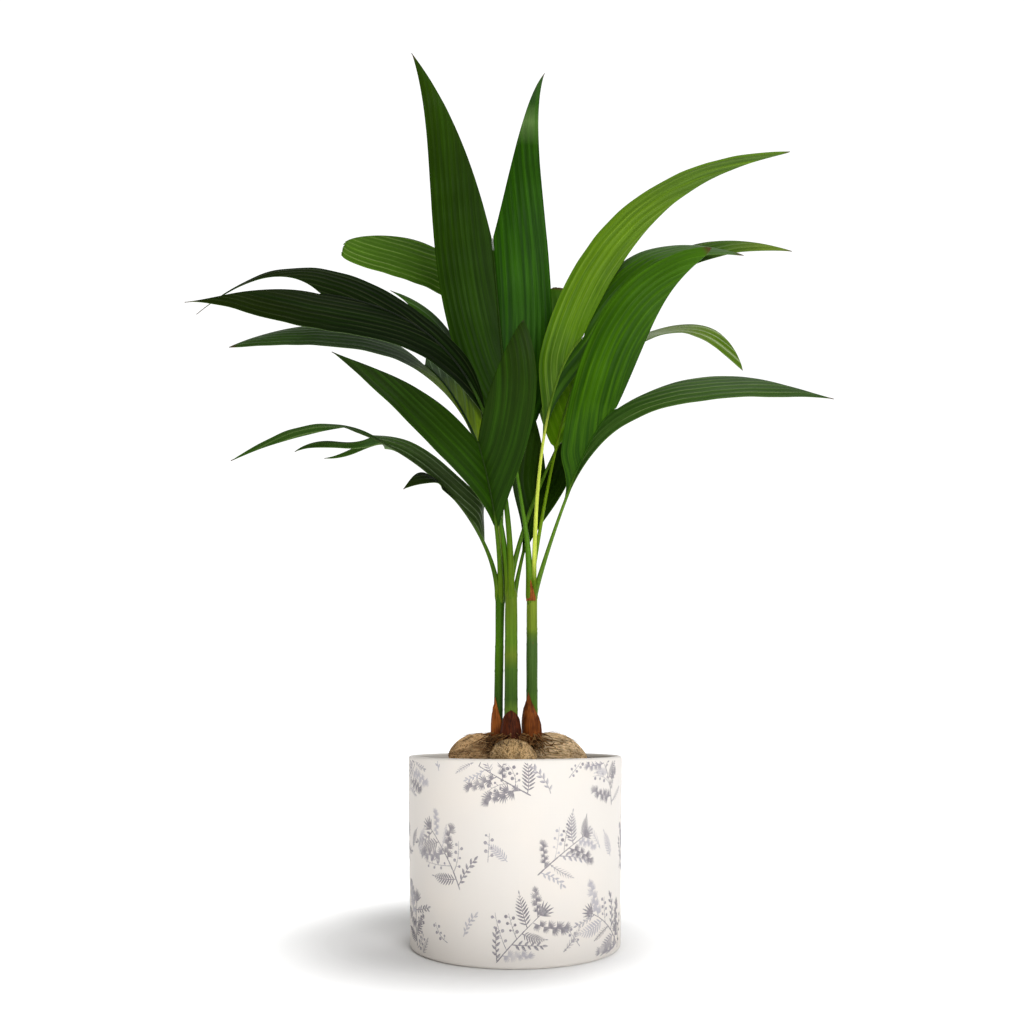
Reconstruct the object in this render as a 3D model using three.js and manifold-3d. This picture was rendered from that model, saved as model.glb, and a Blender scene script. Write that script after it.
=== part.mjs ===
// A potted betel nut palm: three young seedlings, each grown from its own nut, in a straight ceramic pot.
// All sizes are in millimetres. Z is up, the viewer stands on the -Y side, and headings are degrees from +X.
import * as THREE from 'three';
import { mergeVertices } from 'three/addons/utils/BufferGeometryUtils.js';
import Module from 'manifold-3d';

// Clear space left between two pieces that touch in life.
const GAP = 0.3;

// The pot is a little wider at its rim than at its foot.
const POT_HEIGHT = 164;
const POT_RIM_RADIUS = 95;
const POT_FOOT_RADIUS = 92;
const POT_WALL = 5;
const POT_FLOOR = 8;
const POT_RIM_ROUND = 2.2;
const POT_FOOT_ROUND = 3;
const POT_SIDES = 72;

// The compost ends a finger's breadth below the rim.
const SOIL_TOP = 148;

// Each nut lies on the compost beside its stem: middle of the nut, half length, half thickness, heading, dip.
const NUTS = {
  left: { x: -33, y: 12, half_length: 27, half_width: 18.5, half_height: 19.5, heading: 176, dip: -3 },
  middle: { x: -2, y: -38, half_length: 27, half_width: 19.5, half_height: 19.5, heading: -88, dip: 2 },
  right: { x: 37, y: 8, half_length: 28, half_width: 18.5, half_height: 19.5, heading: -4, dip: 8 },
};

// Each stem leans from its foot on the compost to the flat cut where its fronds part.
const FORK_HEIGHT = 307;
const STEMS = {
  left: { foot: [-16, 5], top: [-13.7, 5], foot_radius: 4.2, neck_radius: 3.5, top_radius: 4.1, ring: 2.6 },
  middle: { foot: [-3.8, -6.5], top: [-3.5, -6], foot_radius: 6.4, neck_radius: 5.2, top_radius: 4.9, ring: 3.1 },
  right: { foot: [15, 2], top: [15.3, 0.5], foot_radius: 6.4, neck_radius: 4.8, top_radius: 4.7, ring: 3.0 },
};
const STEM_SIDES = 16;
const STEM_RINGS = 8;

// Dry scales that wrap a stem: where they start, how tall, how far round, and which way they face.
const SCALES = [
  { name: 'scale_left', stem: 'left', start: 166, height: 50, spread: 75, faces: 200, bulge: 1.2 },
  { name: 'scale_middle', stem: 'middle', start: 170, height: 34, spread: 130, faces: -90, bulge: 2.6 },
  { name: 'scale_right', stem: 'right', start: 168, height: 52, spread: 120, faces: 235, bulge: 3.2 },
  { name: 'sheath_right', stem: 'right', start: 303, height: 19, spread: 45, faces: -102, bulge: 0.3 },
];
const SCALE_THICKNESS = 1.2;

// Leaves: a lobe is a blade cut along the rib it hangs on, and is at least a hundredth of its length thick.
const FREE_STEPS = 8;
const JOINED_STEP = 12;
const LOBE_EDGE = 1.0;
const LOBE_CLEAR = 0.5;
const LOBE_LEAST_WIDTH = 1.6;
const LOBE_LEAST_THICKNESS = 2.2;
const LOBE_THICKNESS_SHARE = 0.0105;
const FORK_FADE = 0.4;
const RIB_SIDES = 6;
const RIB_STEPS = 18;
const RIB_FORK_RADIUS = 1.0;

// Each frond stands in its own slot on top of its stem. Its stalk first rises by lift, then runs into the fork
// along the pitch for the length of lead. The blade starts at the share `blade` of that stalk.
// Each lobe leaves the stalk between the shares `from` and `to` of the bladed part and ends at its tip.
// Arch lifts the middle, nod moves the arch toward the stalk or the tip, sweep bends it sideways.
const FRONDS = [
  {
    name: 'front',
    stem: 'left',
    slot: -75,
    thick: 1.6,
    fork: { heading: -117, reach: 45, rise: 134 },
    lift: 66,
    lead: 23,
    pitch: 52,
    blade: 0.33,
    lobes: [
      {
        name: 'left',
        side: -1,
        tip: { heading: -150, reach: 159, rise: 137 },
        arch: 17,
        nod: 3,
        sweep: 19,
        width: 36,
        fullest: 0.52,
        taper: 1.15,
        faces: -90,
        tilt: [10, 30],
      },
      {
        name: 'right',
        side: 1,
        tip: { heading: -70, reach: 69, rise: 171 },
        arch: -14,
        nod: 5,
        sweep: -7,
        width: 41,
        fullest: 0.58,
        taper: 0.78,
        faces: -90,
        tilt: [0, 10],
      },
    ],
  },
  {
    name: 'upright',
    stem: 'right',
    slot: -135,
    thick: 1.8,
    fork: { heading: 135, reach: 50, rise: 359 },
    lift: 92,
    lead: 296,
    pitch: 84,
    blade: 0.64,
    lobes: [
      {
        name: 'left',
        side: -1,
        tip: { heading: 156, reach: 114, rise: 427 },
        arch: 5,
        nod: -7,
        sweep: 4,
        width: 59,
        fullest: 0.38,
        taper: 1.02,
        faces: -90,
        tilt: [5, 5],
      },
      {
        name: 'right',
        side: 1,
        tip: { heading: 59, reach: 64, rise: 411 },
        arch: 4,
        nod: -17,
        sweep: -2,
        width: 41,
        fullest: 0.33,
        taper: 0.91,
        faces: -90,
        tilt: [5, 5],
      },
    ],
  },
  {
    name: 'left_high',
    stem: 'middle',
    slot: -95,
    thick: 1.8,
    fork: { heading: -172, reach: 174, rise: 271 },
    lift: 194,
    lead: 112,
    pitch: 4,
    blade: 0.36,
    lobes: [
      {
        name: 'upper',
        side: 1,
        tip: { heading: -178, reach: 264, rise: 93 },
        arch: 55,
        nod: -22,
        sweep: 15,
        width: 90,
        fullest: 0.23,
        taper: 1.4,
        faces: -100,
        tilt: [30, 50],
      },
      {
        name: 'lower',
        side: -1,
        tip: { heading: -170, reach: 266, rise: 88 },
        arch: 43,
        nod: 3,
        sweep: 6,
        width: 55,
        fullest: 0.64,
        taper: 1.6,
        faces: -90,
        tilt: [20, 25],
      },
    ],
  },
  {
    name: 'left_mid',
    stem: 'middle',
    slot: -178,
    thick: 1.6,
    fork: { heading: 155, reach: 89, rise: 230 },
    lift: 95,
    lead: 50,
    pitch: 36,
    blade: 0.45,
    lobes: [
      {
        name: 'lower',
        side: -1,
        tip: { heading: 172, reach: 253, rise: 124 },
        arch: 65,
        nod: 3,
        sweep: -8,
        width: 39,
        fullest: 0.73,
        taper: 0.81,
        faces: -110,
        tilt: [30, 40],
      },
      {
        name: 'upper',
        side: 1,
        tip: { heading: 143, reach: 124, rise: 200 },
        arch: 12,
        nod: -8,
        sweep: -17,
        width: 28,
        fullest: 0.39,
        taper: 0.96,
        faces: -110,
        tilt: [30, 30],
      },
    ],
  },
  {
    name: 'left_low',
    stem: 'left',
    slot: 190,
    thick: 1.6,
    fork: { heading: -172, reach: 140, rise: 153 },
    lift: 48,
    lead: 98,
    pitch: 16,
    blade: 0.3,
    lobes: [
      {
        name: 'blade',
        side: 1,
        from: 0,
        to: 0.78,
        tip: { heading: -177, reach: 102, rise: 100 },
        arch: 1,
        nod: -10,
        sweep: 1,
        width: 84,
        fullest: 0.21,
        taper: 1.12,
        faces: -90,
        tilt: [30, 30],
      },
      {
        name: 'end',
        side: 1,
        from: 0.8,
        to: 1,
        tip: { heading: -167, reach: 135, rise: -24 },
        arch: 21,
        nod: 2,
        sweep: -4,
        width: 14,
        fullest: 0.42,
        taper: 0.98,
        faces: -90,
        tilt: [30, 30],
      },
      {
        name: 'long',
        side: -1,
        from: 0.82,
        to: 0.88,
        tip: { heading: 167, reach: 86, rise: -3 },
        arch: 2,
        nod: -3,
        width: 9,
        fullest: 0.59,
        faces: -90,
        tilt: [30, 30],
      },
      {
        name: 'short',
        side: -1,
        from: 0.73,
        to: 0.79,
        tip: { heading: 154, reach: 83, rise: 4 },
        arch: 11,
        nod: 4,
        sweep: -8,
        width: 8,
        fullest: 0.46,
        faces: -90,
        tilt: [20, 20],
      },
      {
        name: 'hanging',
        side: -1,
        from: 0.3,
        to: 0.48,
        tip: { heading: -144, reach: 58, rise: 5 },
        arch: 21,
        nod: 2,
        sweep: 2,
        width: 23,
        fullest: 0.56,
        taper: 0.65,
        faces: -90,
        tilt: [30, 30],
      },
    ],
  },
  {
    name: 'bright',
    stem: 'right',
    slot: -48,
    thick: 1.8,
    fork: { heading: 7, reach: 47, rise: 246 },
    lift: 86,
    lead: 55,
    pitch: 43,
    blade: 0.52,
    lobes: [
      {
        name: 'upper',
        side: -1,
        tip: { heading: -2, reach: 233, rise: 275 },
        arch: 70,
        nod: -7,
        width: 42,
        fullest: 0.3,
        taper: 0.71,
        faces: -90,
        tilt: [10, 15],
      },
      {
        name: 'lower',
        side: 1,
        tip: { heading: 5, reach: 194, rise: 186 },
        arch: 53,
        nod: -15,
        sweep: -1,
        width: 37,
        fullest: 0.75,
        taper: 0.61,
        faces: -60,
        tilt: [40, 45],
      },
    ],
  },
  {
    name: 'right_back',
    stem: 'right',
    slot: 132,
    thick: 1.6,
    fork: { heading: 21, reach: 63, rise: 223 },
    lift: 5,
    lead: 31,
    pitch: -34,
    blade: 0.56,
    lobes: [
      {
        name: 'lower',
        side: 1,
        tip: { heading: 5, reach: 234, rise: 205 },
        arch: 63,
        nod: -16,
        sweep: 16,
        width: 29,
        fullest: 0.66,
        taper: 0.91,
        faces: -90,
        tilt: [40, 20],
      },
      {
        name: 'back',
        side: -1,
        tip: { heading: 78, reach: 150, rise: 100 },
        arch: 20,
        width: 34,
        faces: -90,
        tilt: [20, 50],
      },
    ],
  },
  {
    name: 'right_fan',
    stem: 'right',
    slot: 42,
    thick: 1.8,
    fork: { heading: -34, reach: 86, rise: 160 },
    lift: 5,
    lead: 33,
    pitch: 11,
    blade: 0.52,
    lobes: [
      {
        name: 'upper',
        side: -1,
        tip: { heading: -15, reach: 134, rise: 221 },
        arch: 23,
        nod: -10,
        sweep: -20,
        width: 51,
        fullest: 0.42,
        taper: 0.59,
        faces: -90,
        tilt: [10, 15],
      },
      {
        name: 'lower',
        side: 1,
        tip: { heading: -19, reach: 232, rise: 69 },
        arch: 50,
        nod: 6,
        sweep: -18,
        width: 35,
        fullest: 0.62,
        taper: 1.25,
        faces: -90,
        tilt: [30, 40],
      },
    ],
  },
  {
    name: 'back_left',
    stem: 'left',
    slot: 15,
    thick: 1.6,
    fork: { heading: 114, reach: 104, rise: 331 },
    lift: 144,
    lead: 119,
    pitch: 76,
    blade: 0.47,
    lobes: [
      {
        name: 'left',
        side: -1,
        tip: { heading: 146, reach: 201, rise: 243 },
        arch: 68,
        sweep: -44,
        width: 52,
        fullest: 0.75,
        taper: 0.35,
        faces: -90,
        tilt: [10, 10],
      },
      {
        name: 'right',
        side: 1,
        tip: { heading: 66, reach: 150, rise: 190 },
        arch: 30,
        width: 40,
        faces: -90,
        tilt: [20, 50],
      },
    ],
  },
  {
    name: 'back_right',
    stem: 'middle',
    slot: 112,
    thick: 1.6,
    fork: { heading: 36, reach: 167, rise: 287 },
    lift: 60,
    lead: 80,
    pitch: 30,
    blade: 0.76,
    lobes: [
      {
        name: 'right',
        side: 1,
        tip: { heading: 17, reach: 159, rise: 18 },
        arch: 35,
        nod: -1,
        sweep: -25,
        width: 18,
        fullest: 0.72,
        taper: 0.78,
        faces: -80,
        tilt: [30, 0],
      },
      {
        name: 'back',
        side: -1,
        tip: { heading: 84, reach: 150, rise: 90 },
        arch: 40,
        width: 38,
        faces: -80,
        tilt: [20, 50],
      },
    ],
  },
  {
    name: 'low_right',
    stem: 'middle',
    slot: 30,
    thick: 1.6,
    fork: { heading: 57, reach: 57, rise: 128 },
    lift: 4,
    lead: 40,
    pitch: 55,
    blade: 0.42,
    lobes: [
      {
        name: 'right',
        side: 1,
        tip: { heading: 14, reach: 92, rise: 148 },
        arch: 14,
        nod: -3,
        sweep: -2,
        width: 26,
        fullest: 0.3,
        taper: 0.69,
        faces: -80,
        tilt: [35, 35],
      },
      {
        name: 'left',
        side: -1,
        tip: { heading: 80, reach: 22, rise: 150 },
        arch: -8,
        sweep: 5,
        width: 26,
        fullest: 0.3,
        taper: 0.8,
        faces: -90,
        tilt: [10, 20],
      },
    ],
  },
  {
    name: 'rear',
    stem: 'left',
    slot: 100,
    thick: 1.6,
    fork: { heading: 87, reach: 98, rise: 221 },
    lift: 50,
    lead: 66,
    pitch: 76,
    blade: 0.6,
    lobes: [
      {
        name: 'left',
        side: -1,
        tip: { heading: 112, reach: 170, rise: 110 },
        arch: 50,
        width: 42,
        faces: -90,
        tilt: [20, 50],
      },
      {
        name: 'right',
        side: 1,
        tip: { heading: 76, reach: 180, rise: 90 },
        arch: 50,
        width: 42,
        faces: -90,
        tilt: [20, 50],
      },
    ],
  },
];

// Values that a lobe takes when its row doesn't state them.
const LOBE_DEFAULTS = { from: 0, to: 1, arch: 0, nod: 0, sweep: 0, fullest: 0.45, taper: 0.9 };

const COLOURS = {
  pot: 0xf1ece6,
  soil: 0x3b2a1e,
  nut: 0xa08055,
  stem: 0x3f6b23,
  scale: 0x8a3e1c,
  stalk: 0x4f8a24,
  leaf: 0x2f5f10,
};
const ROUGHNESS = 0.6;
// The factor that makes a sine's even wave reach one where its two humps peak.
const NOD_SCALE = 10.4;

const wasm = await Module();
wasm.setup();
const { Manifold, Mesh } = wasm;

const group = new THREE.Group();
group.name = 'potted_betel_nut_palm';

function material(name, colour) {
  return new THREE.MeshStandardMaterial({ name, color: colour, roughness: ROUGHNESS });
}

function add(name, kind, geometry) {
  const mesh = new THREE.Mesh(geometry, material(`${name}_${kind}`, COLOURS[kind]));
  mesh.name = name;
  group.add(mesh);
}

function radians(degrees) {
  return (degrees * Math.PI) / 180;
}

function headed(heading, pitch) {
  const level = Math.cos(radians(pitch));
  return new THREE.Vector3(
    Math.cos(radians(heading)) * level,
    Math.sin(radians(heading)) * level,
    Math.sin(radians(pitch)),
  );
}

function offset(start, { heading, reach, rise }) {
  return headed(heading, 0).multiplyScalar(reach).add(start).setZ(start.z + rise);
}

// Six times the volume that a closed triangle mesh encloses, negative when it faces in.
function signedVolume(points, triangles) {
  let sum = 0;
  for (const [a, b, c] of triangles) {
    sum += points[a].dot(new THREE.Vector3().crossVectors(points[b], points[c]));
  }
  return sum;
}

// A closed solid through a row of rings that all have the same even number of points.
// Each end is closed by a strip between the first half of its ring and the second.
function loft(rings) {
  const count = rings[0].length;
  const points = rings.flat();
  const triangles = [];
  for (let ring = 0; ring < rings.length - 1; ring += 1) {
    for (let i = 0; i < count; i += 1) {
      const a = ring * count + i;
      const b = ring * count + ((i + 1) % count);
      triangles.push([a, b, b + count], [a, b + count, a + count]);
    }
  }
  const last = (rings.length - 1) * count;
  for (let i = 0; i < count / 2 - 1; i += 1) {
    const a = count - 1 - i;
    triangles.push([i, a, i + 1], [i + 1, a, a - 1]);
    triangles.push([last + i, last + i + 1, last + a], [last + i + 1, last + a - 1, last + a]);
  }
  const outward = signedVolume(points, triangles) > 0;
  const geometry = new THREE.BufferGeometry();
  geometry.setAttribute(
    'position',
    new THREE.Float32BufferAttribute(points.flatMap((p) => [p.x, p.y, p.z]), 3),
  );
  geometry.setIndex(triangles.flatMap(([a, b, c]) => (outward ? [a, b, c] : [a, c, b])));
  return geometry;
}

function lathe(profile, sides) {
  const outline = profile.map(([radius, height]) => new THREE.Vector2(radius, height));
  return new THREE.LatheGeometry(outline, sides).rotateX(Math.PI / 2);
}

function toManifold(geometry) {
  const bare = geometry.clone();
  bare.deleteAttribute('normal');
  bare.deleteAttribute('uv');
  const merged = mergeVertices(bare);
  return new Manifold(
    new Mesh({
      numProp: 3,
      vertProperties: Float32Array.from(merged.getAttribute('position').array),
      triVerts: Uint32Array.from(merged.getIndex().array),
    }),
  );
}

function fromManifold(solid) {
  const mesh = solid.getMesh();
  const geometry = new THREE.BufferGeometry();
  geometry.setAttribute('position', new THREE.BufferAttribute(mesh.vertProperties, 3));
  geometry.setIndex(new THREE.BufferAttribute(mesh.triVerts, 1));
  return geometry;
}

// Points of a quarter turn from one radius and height to the next, for a rounded edge in a lathe outline.
function roundEdge(centreRadius, centreHeight, round, startAngle, endAngle) {
  const steps = 4;
  const points = [];
  for (let i = 0; i <= steps; i += 1) {
    const angle = radians(startAngle + ((endAngle - startAngle) * i) / steps);
    points.push([centreRadius + round * Math.cos(angle), centreHeight + round * Math.sin(angle)]);
  }
  return points;
}

function innerRadius(height) {
  return POT_FOOT_RADIUS + ((POT_RIM_RADIUS - POT_FOOT_RADIUS) * height) / POT_HEIGHT - POT_WALL;
}

function pot() {
  const rimHeight = POT_HEIGHT - POT_RIM_ROUND;
  return lathe(
    [
      [0, 0],
      ...roundEdge(POT_FOOT_RADIUS - POT_FOOT_ROUND, POT_FOOT_ROUND, POT_FOOT_ROUND, -90, 0),
      ...roundEdge(POT_RIM_RADIUS - POT_RIM_ROUND, rimHeight, POT_RIM_ROUND, 0, 90),
      ...roundEdge(POT_RIM_RADIUS - POT_WALL + POT_RIM_ROUND, rimHeight, POT_RIM_ROUND, 90, 180),
      [innerRadius(POT_FLOOR), POT_FLOOR],
      [0, POT_FLOOR],
    ],
    POT_SIDES,
  );
}

function soil() {
  const bottom = POT_FLOOR + GAP;
  return lathe(
    [
      [0, bottom],
      [innerRadius(bottom) - GAP, bottom],
      [innerRadius(SOIL_TOP) - GAP, SOIL_TOP],
      [0, SOIL_TOP],
    ],
    POT_SIDES,
  );
}

// The middle line and radius of a stem at a share of its height, with a flare at the foot and at the fork.
function stemAt(stem, share, extra) {
  const foot = new THREE.Vector3(stem.foot[0], stem.foot[1], SOIL_TOP + GAP);
  const top = new THREE.Vector3(stem.top[0], stem.top[1], FORK_HEIGHT);
  const footFlare = Math.max(0, 1 - share / 0.35) ** 2;
  const topFlare = Math.max(0, (share - 0.8) / 0.2) ** 2;
  const radius =
    stem.neck_radius +
    (stem.foot_radius - stem.neck_radius) * footFlare +
    (stem.top_radius - stem.neck_radius) * topFlare;
  return { middle: foot.lerp(top, share), radius: radius + extra };
}

function levelRing(middle, radius, sides) {
  const ring = [];
  for (let i = 0; i < sides; i += 1) {
    const angle = (i / sides) * 2 * Math.PI;
    ring.push(
      new THREE.Vector3(
        middle.x + radius * Math.cos(angle),
        middle.y + radius * Math.sin(angle),
        middle.z,
      ),
    );
  }
  return ring;
}

function stemSolid(stem, extra) {
  const rings = [];
  for (let i = 0; i <= STEM_RINGS; i += 1) {
    const { middle, radius } = stemAt(stem, i / STEM_RINGS, extra);
    rings.push(levelRing(middle, radius, STEM_SIDES));
  }
  return loft(rings);
}

// A nut is a blunt egg, cut flat where it lies on the compost and cut clear of the stems beside it.
function nut(row) {
  const egg = new THREE.SphereGeometry(1, 20, 14)
    .scale(row.half_length, row.half_width, row.half_height)
    .rotateY(radians(row.dip))
    .rotateZ(radians(row.heading))
    .translate(row.x, row.y, SOIL_TOP + row.half_height - 1.5);
  const size = 4 * row.half_length;
  const ground = Manifold.cube([size, size, size], true).translate([
    row.x,
    row.y,
    SOIL_TOP + GAP - size / 2,
  ]);
  let solid = toManifold(egg).subtract(ground);
  for (const stem of Object.values(STEMS)) {
    const wide = toManifold(stemSolid(stem, GAP)).translate([0, 0, -2 * GAP]);
    solid = solid.subtract(wide);
  }
  for (const wrap of SCALES) {
    solid = solid.subtract(toManifold(scale(wrap, GAP)));
  }
  const pieces = solid.decompose().sort((a, b) => b.volume() - a.volume());
  return fromManifold(pieces[0]);
}

// A dry scale is a thin shell round part of its stem that narrows to a point.
function scale(row, grow) {
  const stem = STEMS[row.stem];
  const steps = 6;
  const across = 12;
  const rings = [];
  for (let i = 0; i <= steps; i += 1) {
    const share = i / steps;
    const height = row.start + row.height * share - grow;
    const level = (height - SOIL_TOP - GAP) / (FORK_HEIGHT - SOIL_TOP - GAP);
    const { middle, radius } = stemAt(stem, level, GAP);
    const swell = row.bulge * Math.sin(Math.PI * Math.min(1, share + 0.15));
    const half = Math.max(4, row.spread * (1 - share ** 1.6));
    const chord = Math.cos(radians(half / across));
    const inner = (radius + 0.1 + Math.max(0, swell)) / chord - grow;
    const thickness = SCALE_THICKNESS * (1 - 0.5 * share) + 2 * grow;
    const inside = [];
    const outside = [];
    for (let j = 0; j <= across; j += 1) {
      const angle = row.faces + (half + 5 * grow) * ((2 * j) / across - 1);
      const out = headed(angle, 0);
      inside.push(middle.clone().addScaledVector(out, inner));
      outside.push(middle.clone().addScaledVector(out, inner + thickness));
    }
    rings.push([...inside, ...outside.reverse()]);
  }
  return loft(rings);
}

function cubic(controls, share) {
  const rest = 1 - share;
  return new THREE.Vector3()
    .addScaledVector(controls[0], rest ** 3)
    .addScaledVector(controls[1], 3 * share * rest ** 2)
    .addScaledVector(controls[2], 3 * share ** 2 * rest)
    .addScaledVector(controls[3], share ** 3);
}

// The four control points of a frond's stalk, from its slot on the stem to its fork.
function stalkControls(frond) {
  const stem = STEMS[frond.stem];
  const root = new THREE.Vector3(stem.top[0], stem.top[1], FORK_HEIGHT + GAP);
  root.addScaledVector(headed(frond.slot, 0), stem.ring);
  const fork = offset(root, frond.fork);
  const raised = root.clone().setZ(root.z + frond.lift);
  const lead = fork.clone().addScaledVector(headed(frond.fork.heading, frond.pitch), -frond.lead);
  return [root, raised, lead, fork];
}

function stalkRadius(frond, share) {
  return frond.thick + (RIB_FORK_RADIUS - frond.thick) * share ** 0.8;
}

function rib(frond) {
  const controls = stalkControls(frond);
  const rings = [];
  for (let i = 0; i <= RIB_STEPS; i += 1) {
    const share = i / RIB_STEPS;
    const middle = cubic(controls, share);
    const ahead = cubic(controls, Math.min(1, share + 0.01));
    const behind = cubic(controls, Math.max(0, share - 0.01));
    const along = i === 0 ? new THREE.Vector3(0, 0, 1) : ahead.sub(behind).normalize();
    const side = headed(frond.fork.heading + 90, 0);
    side.addScaledVector(along, -side.dot(along)).normalize();
    const up = new THREE.Vector3().crossVectors(along, side);
    const radius = stalkRadius(frond, share);
    const ring = [];
    for (let j = 0; j < RIB_SIDES; j += 1) {
      const angle = (j / RIB_SIDES) * 2 * Math.PI;
      const point = middle.clone().addScaledVector(side, radius * Math.cos(angle));
      ring.push(point.addScaledVector(up, radius * Math.sin(angle)));
    }
    rings.push(ring);
  }
  return loft(rings);
}

// The middle line of a lobe from its base on the stalk to its tip.
function lobeLine(base, lobe, share) {
  const tip = offset(base, lobe.tip);
  const chord = tip.sub(base);
  const sideways = headed(Math.atan2(chord.y, chord.x) * (180 / Math.PI) + 90, 0);
  const up = new THREE.Vector3().crossVectors(chord, sideways).normalize();
  const hump = 4 * share * (1 - share);
  const wave = NOD_SCALE * share * (1 - share) * (1 - 2 * share);
  return base
    .clone()
    .addScaledVector(chord, share)
    .addScaledVector(up, hump * lobe.arch + wave * lobe.nod)
    .addScaledVector(sideways, hump * lobe.sweep);
}

// The half width of a lobe along its length: nothing at both ends, most at the share `fullest`.
function lobeHalfWidth(lobe, share) {
  const power = Math.log(0.5) / Math.log(lobe.fullest);
  return (lobe.width / 2) * Math.abs(Math.sin(Math.PI * share ** power)) ** lobe.taper;
}

function pathLength(pointAt, start, end) {
  const steps = 40;
  let length = 0;
  for (let i = 0; i < steps; i += 1) {
    const here = pointAt(start + ((end - start) * i) / steps);
    length += here.distanceTo(pointAt(start + ((end - start) * (i + 1)) / steps));
  }
  return length;
}

// One lobe: its inner edge runs along the stalk as far as `to`, then frees itself and follows the middle line.
function lobeSolid(frond, row) {
  const lobe = { ...LOBE_DEFAULTS, ...row };
  const controls = stalkControls(frond);
  const stalk = (share) => cubic(controls, share);
  const start = frond.blade + (1 - frond.blade) * lobe.from;
  const end = frond.blade + (1 - frond.blade) * lobe.to;
  const base = stalk(start);
  const line = (share) => lobeLine(base, lobe, share);
  const length = pathLength(line, 0, 1);
  const joinedLength = pathLength(stalk, start, end);
  const joined = Math.min(0.95, joinedLength / length);
  const joinedSteps = Math.ceil(joinedLength / JOINED_STEP);
  const across = (share) => {
    const along = line(Math.min(1, share + 0.01)).sub(line(Math.max(0, share - 0.01)));
    const face = headed(lobe.faces, lobe.tilt[0] + (lobe.tilt[1] - lobe.tilt[0]) * share);
    return new THREE.Vector3().crossVectors(along, face).normalize().multiplyScalar(lobe.side);
  };
  const freeEdge = (share) => line(share).addScaledVector(across(share), -lobeHalfWidth(lobe, share));
  const shift = stalk(end).sub(freeEdge(joined));
  const thickness = Math.max(LOBE_LEAST_THICKNESS, LOBE_THICKNESS_SHARE * length);
  const rings = [];
  for (let i = 0; i <= joinedSteps + FREE_STEPS; i += 1) {
    const beyond = (i - joinedSteps) / FREE_STEPS;
    const share = beyond <= 0 ? (joined * i) / joinedSteps : joined + (1 - joined) * beyond;
    const away = across(share);
    const alongStalk = start + ((end - start) * Math.min(share, joined)) / joined;
    const fade = Math.max(0, 1 - Math.max(0, share - joined) / FORK_FADE) ** 2;
    const clear = (stalkRadius(frond, alongStalk) + GAP + LOBE_CLEAR) * fade;
    const stalkWay = stalk(alongStalk + 0.005).sub(stalk(alongStalk - 0.005)).normalize();
    const aside = away.clone().addScaledVector(stalkWay, -away.dot(stalkWay)).normalize();
    const inner = share <= joined ? stalk(alongStalk) : freeEdge(share).addScaledVector(shift, fade);
    const outer = line(share).addScaledVector(away, lobeHalfWidth(lobe, share) + clear);
    inner.addScaledVector(aside, clear);
    const width = outer.clone().sub(inner).dot(away);
    if (width < LOBE_LEAST_WIDTH) {
      outer.addScaledVector(away, LOBE_LEAST_WIDTH - width);
    }
    const along = line(Math.min(1, share + 0.01)).sub(line(Math.max(0, share - 0.01)));
    const flat = new THREE.Vector3().crossVectors(along, away).normalize();
    const full = Math.min(1, outer.distanceTo(inner) / (0.4 * lobe.width));
    const half = (LOBE_EDGE + (thickness - LOBE_EDGE) * full) / 2;
    const middle = inner.clone().lerp(outer, 0.5);
    rings.push([
      inner.clone().addScaledVector(flat, LOBE_EDGE / 2),
      middle.clone().addScaledVector(flat, half),
      outer.clone().addScaledVector(flat, LOBE_EDGE / 2),
      outer.clone().addScaledVector(flat, -LOBE_EDGE / 2),
      middle.clone().addScaledVector(flat, -half),
      inner.clone().addScaledVector(flat, -LOBE_EDGE / 2),
    ]);
  }
  return loft(rings);
}

add('pot', 'pot', pot());
add('soil', 'soil', soil());
for (const [name, row] of Object.entries(NUTS)) {
  add(`nut_${name}`, 'nut', nut(row));
}
for (const [name, stem] of Object.entries(STEMS)) {
  add(`stem_${name}`, 'stem', stemSolid(stem, 0));
}
for (const row of SCALES) {
  add(row.name, 'scale', scale(row, 0));
}
for (const frond of FRONDS) {
  add(`stalk_${frond.name}`, 'stalk', rib(frond));
  for (const lobe of frond.lobes) {
    add(`leaf_${frond.name}_${lobe.name}`, 'leaf', lobeSolid(frond, lobe));
  }
}

export default group;
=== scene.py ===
"""A potted betel nut palm: three seedlings, each grown from its own nut, in a printed ceramic pot.

The fronds, stems, nuts, dry scales, compost and pot are modelled by the same rules as the plant's solids,
only finer. Lengths in the tables are millimetres, and MM turns them into metres.
"""

import cmath
import math
import random

import bmesh
import bpy
from mathutils import Matrix, Vector, noise


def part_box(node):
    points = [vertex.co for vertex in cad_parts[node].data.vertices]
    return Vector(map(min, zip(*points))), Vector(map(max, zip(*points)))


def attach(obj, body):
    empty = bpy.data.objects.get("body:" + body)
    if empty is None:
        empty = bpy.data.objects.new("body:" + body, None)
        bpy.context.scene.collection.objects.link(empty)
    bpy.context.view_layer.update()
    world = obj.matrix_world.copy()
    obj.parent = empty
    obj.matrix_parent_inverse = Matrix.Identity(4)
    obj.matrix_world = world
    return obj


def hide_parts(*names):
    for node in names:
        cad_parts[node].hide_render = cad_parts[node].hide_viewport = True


bl_info = {
    "name": "Potted betel nut palm",
    "version": (1, 0, 0),
    "blender": (4, 5, 0),
    "location": "3D View > Sidebar > Palm",
    "description": "Builds a potted betel nut palm clump and a plain studio around it",
    "category": "Object",
}

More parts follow.
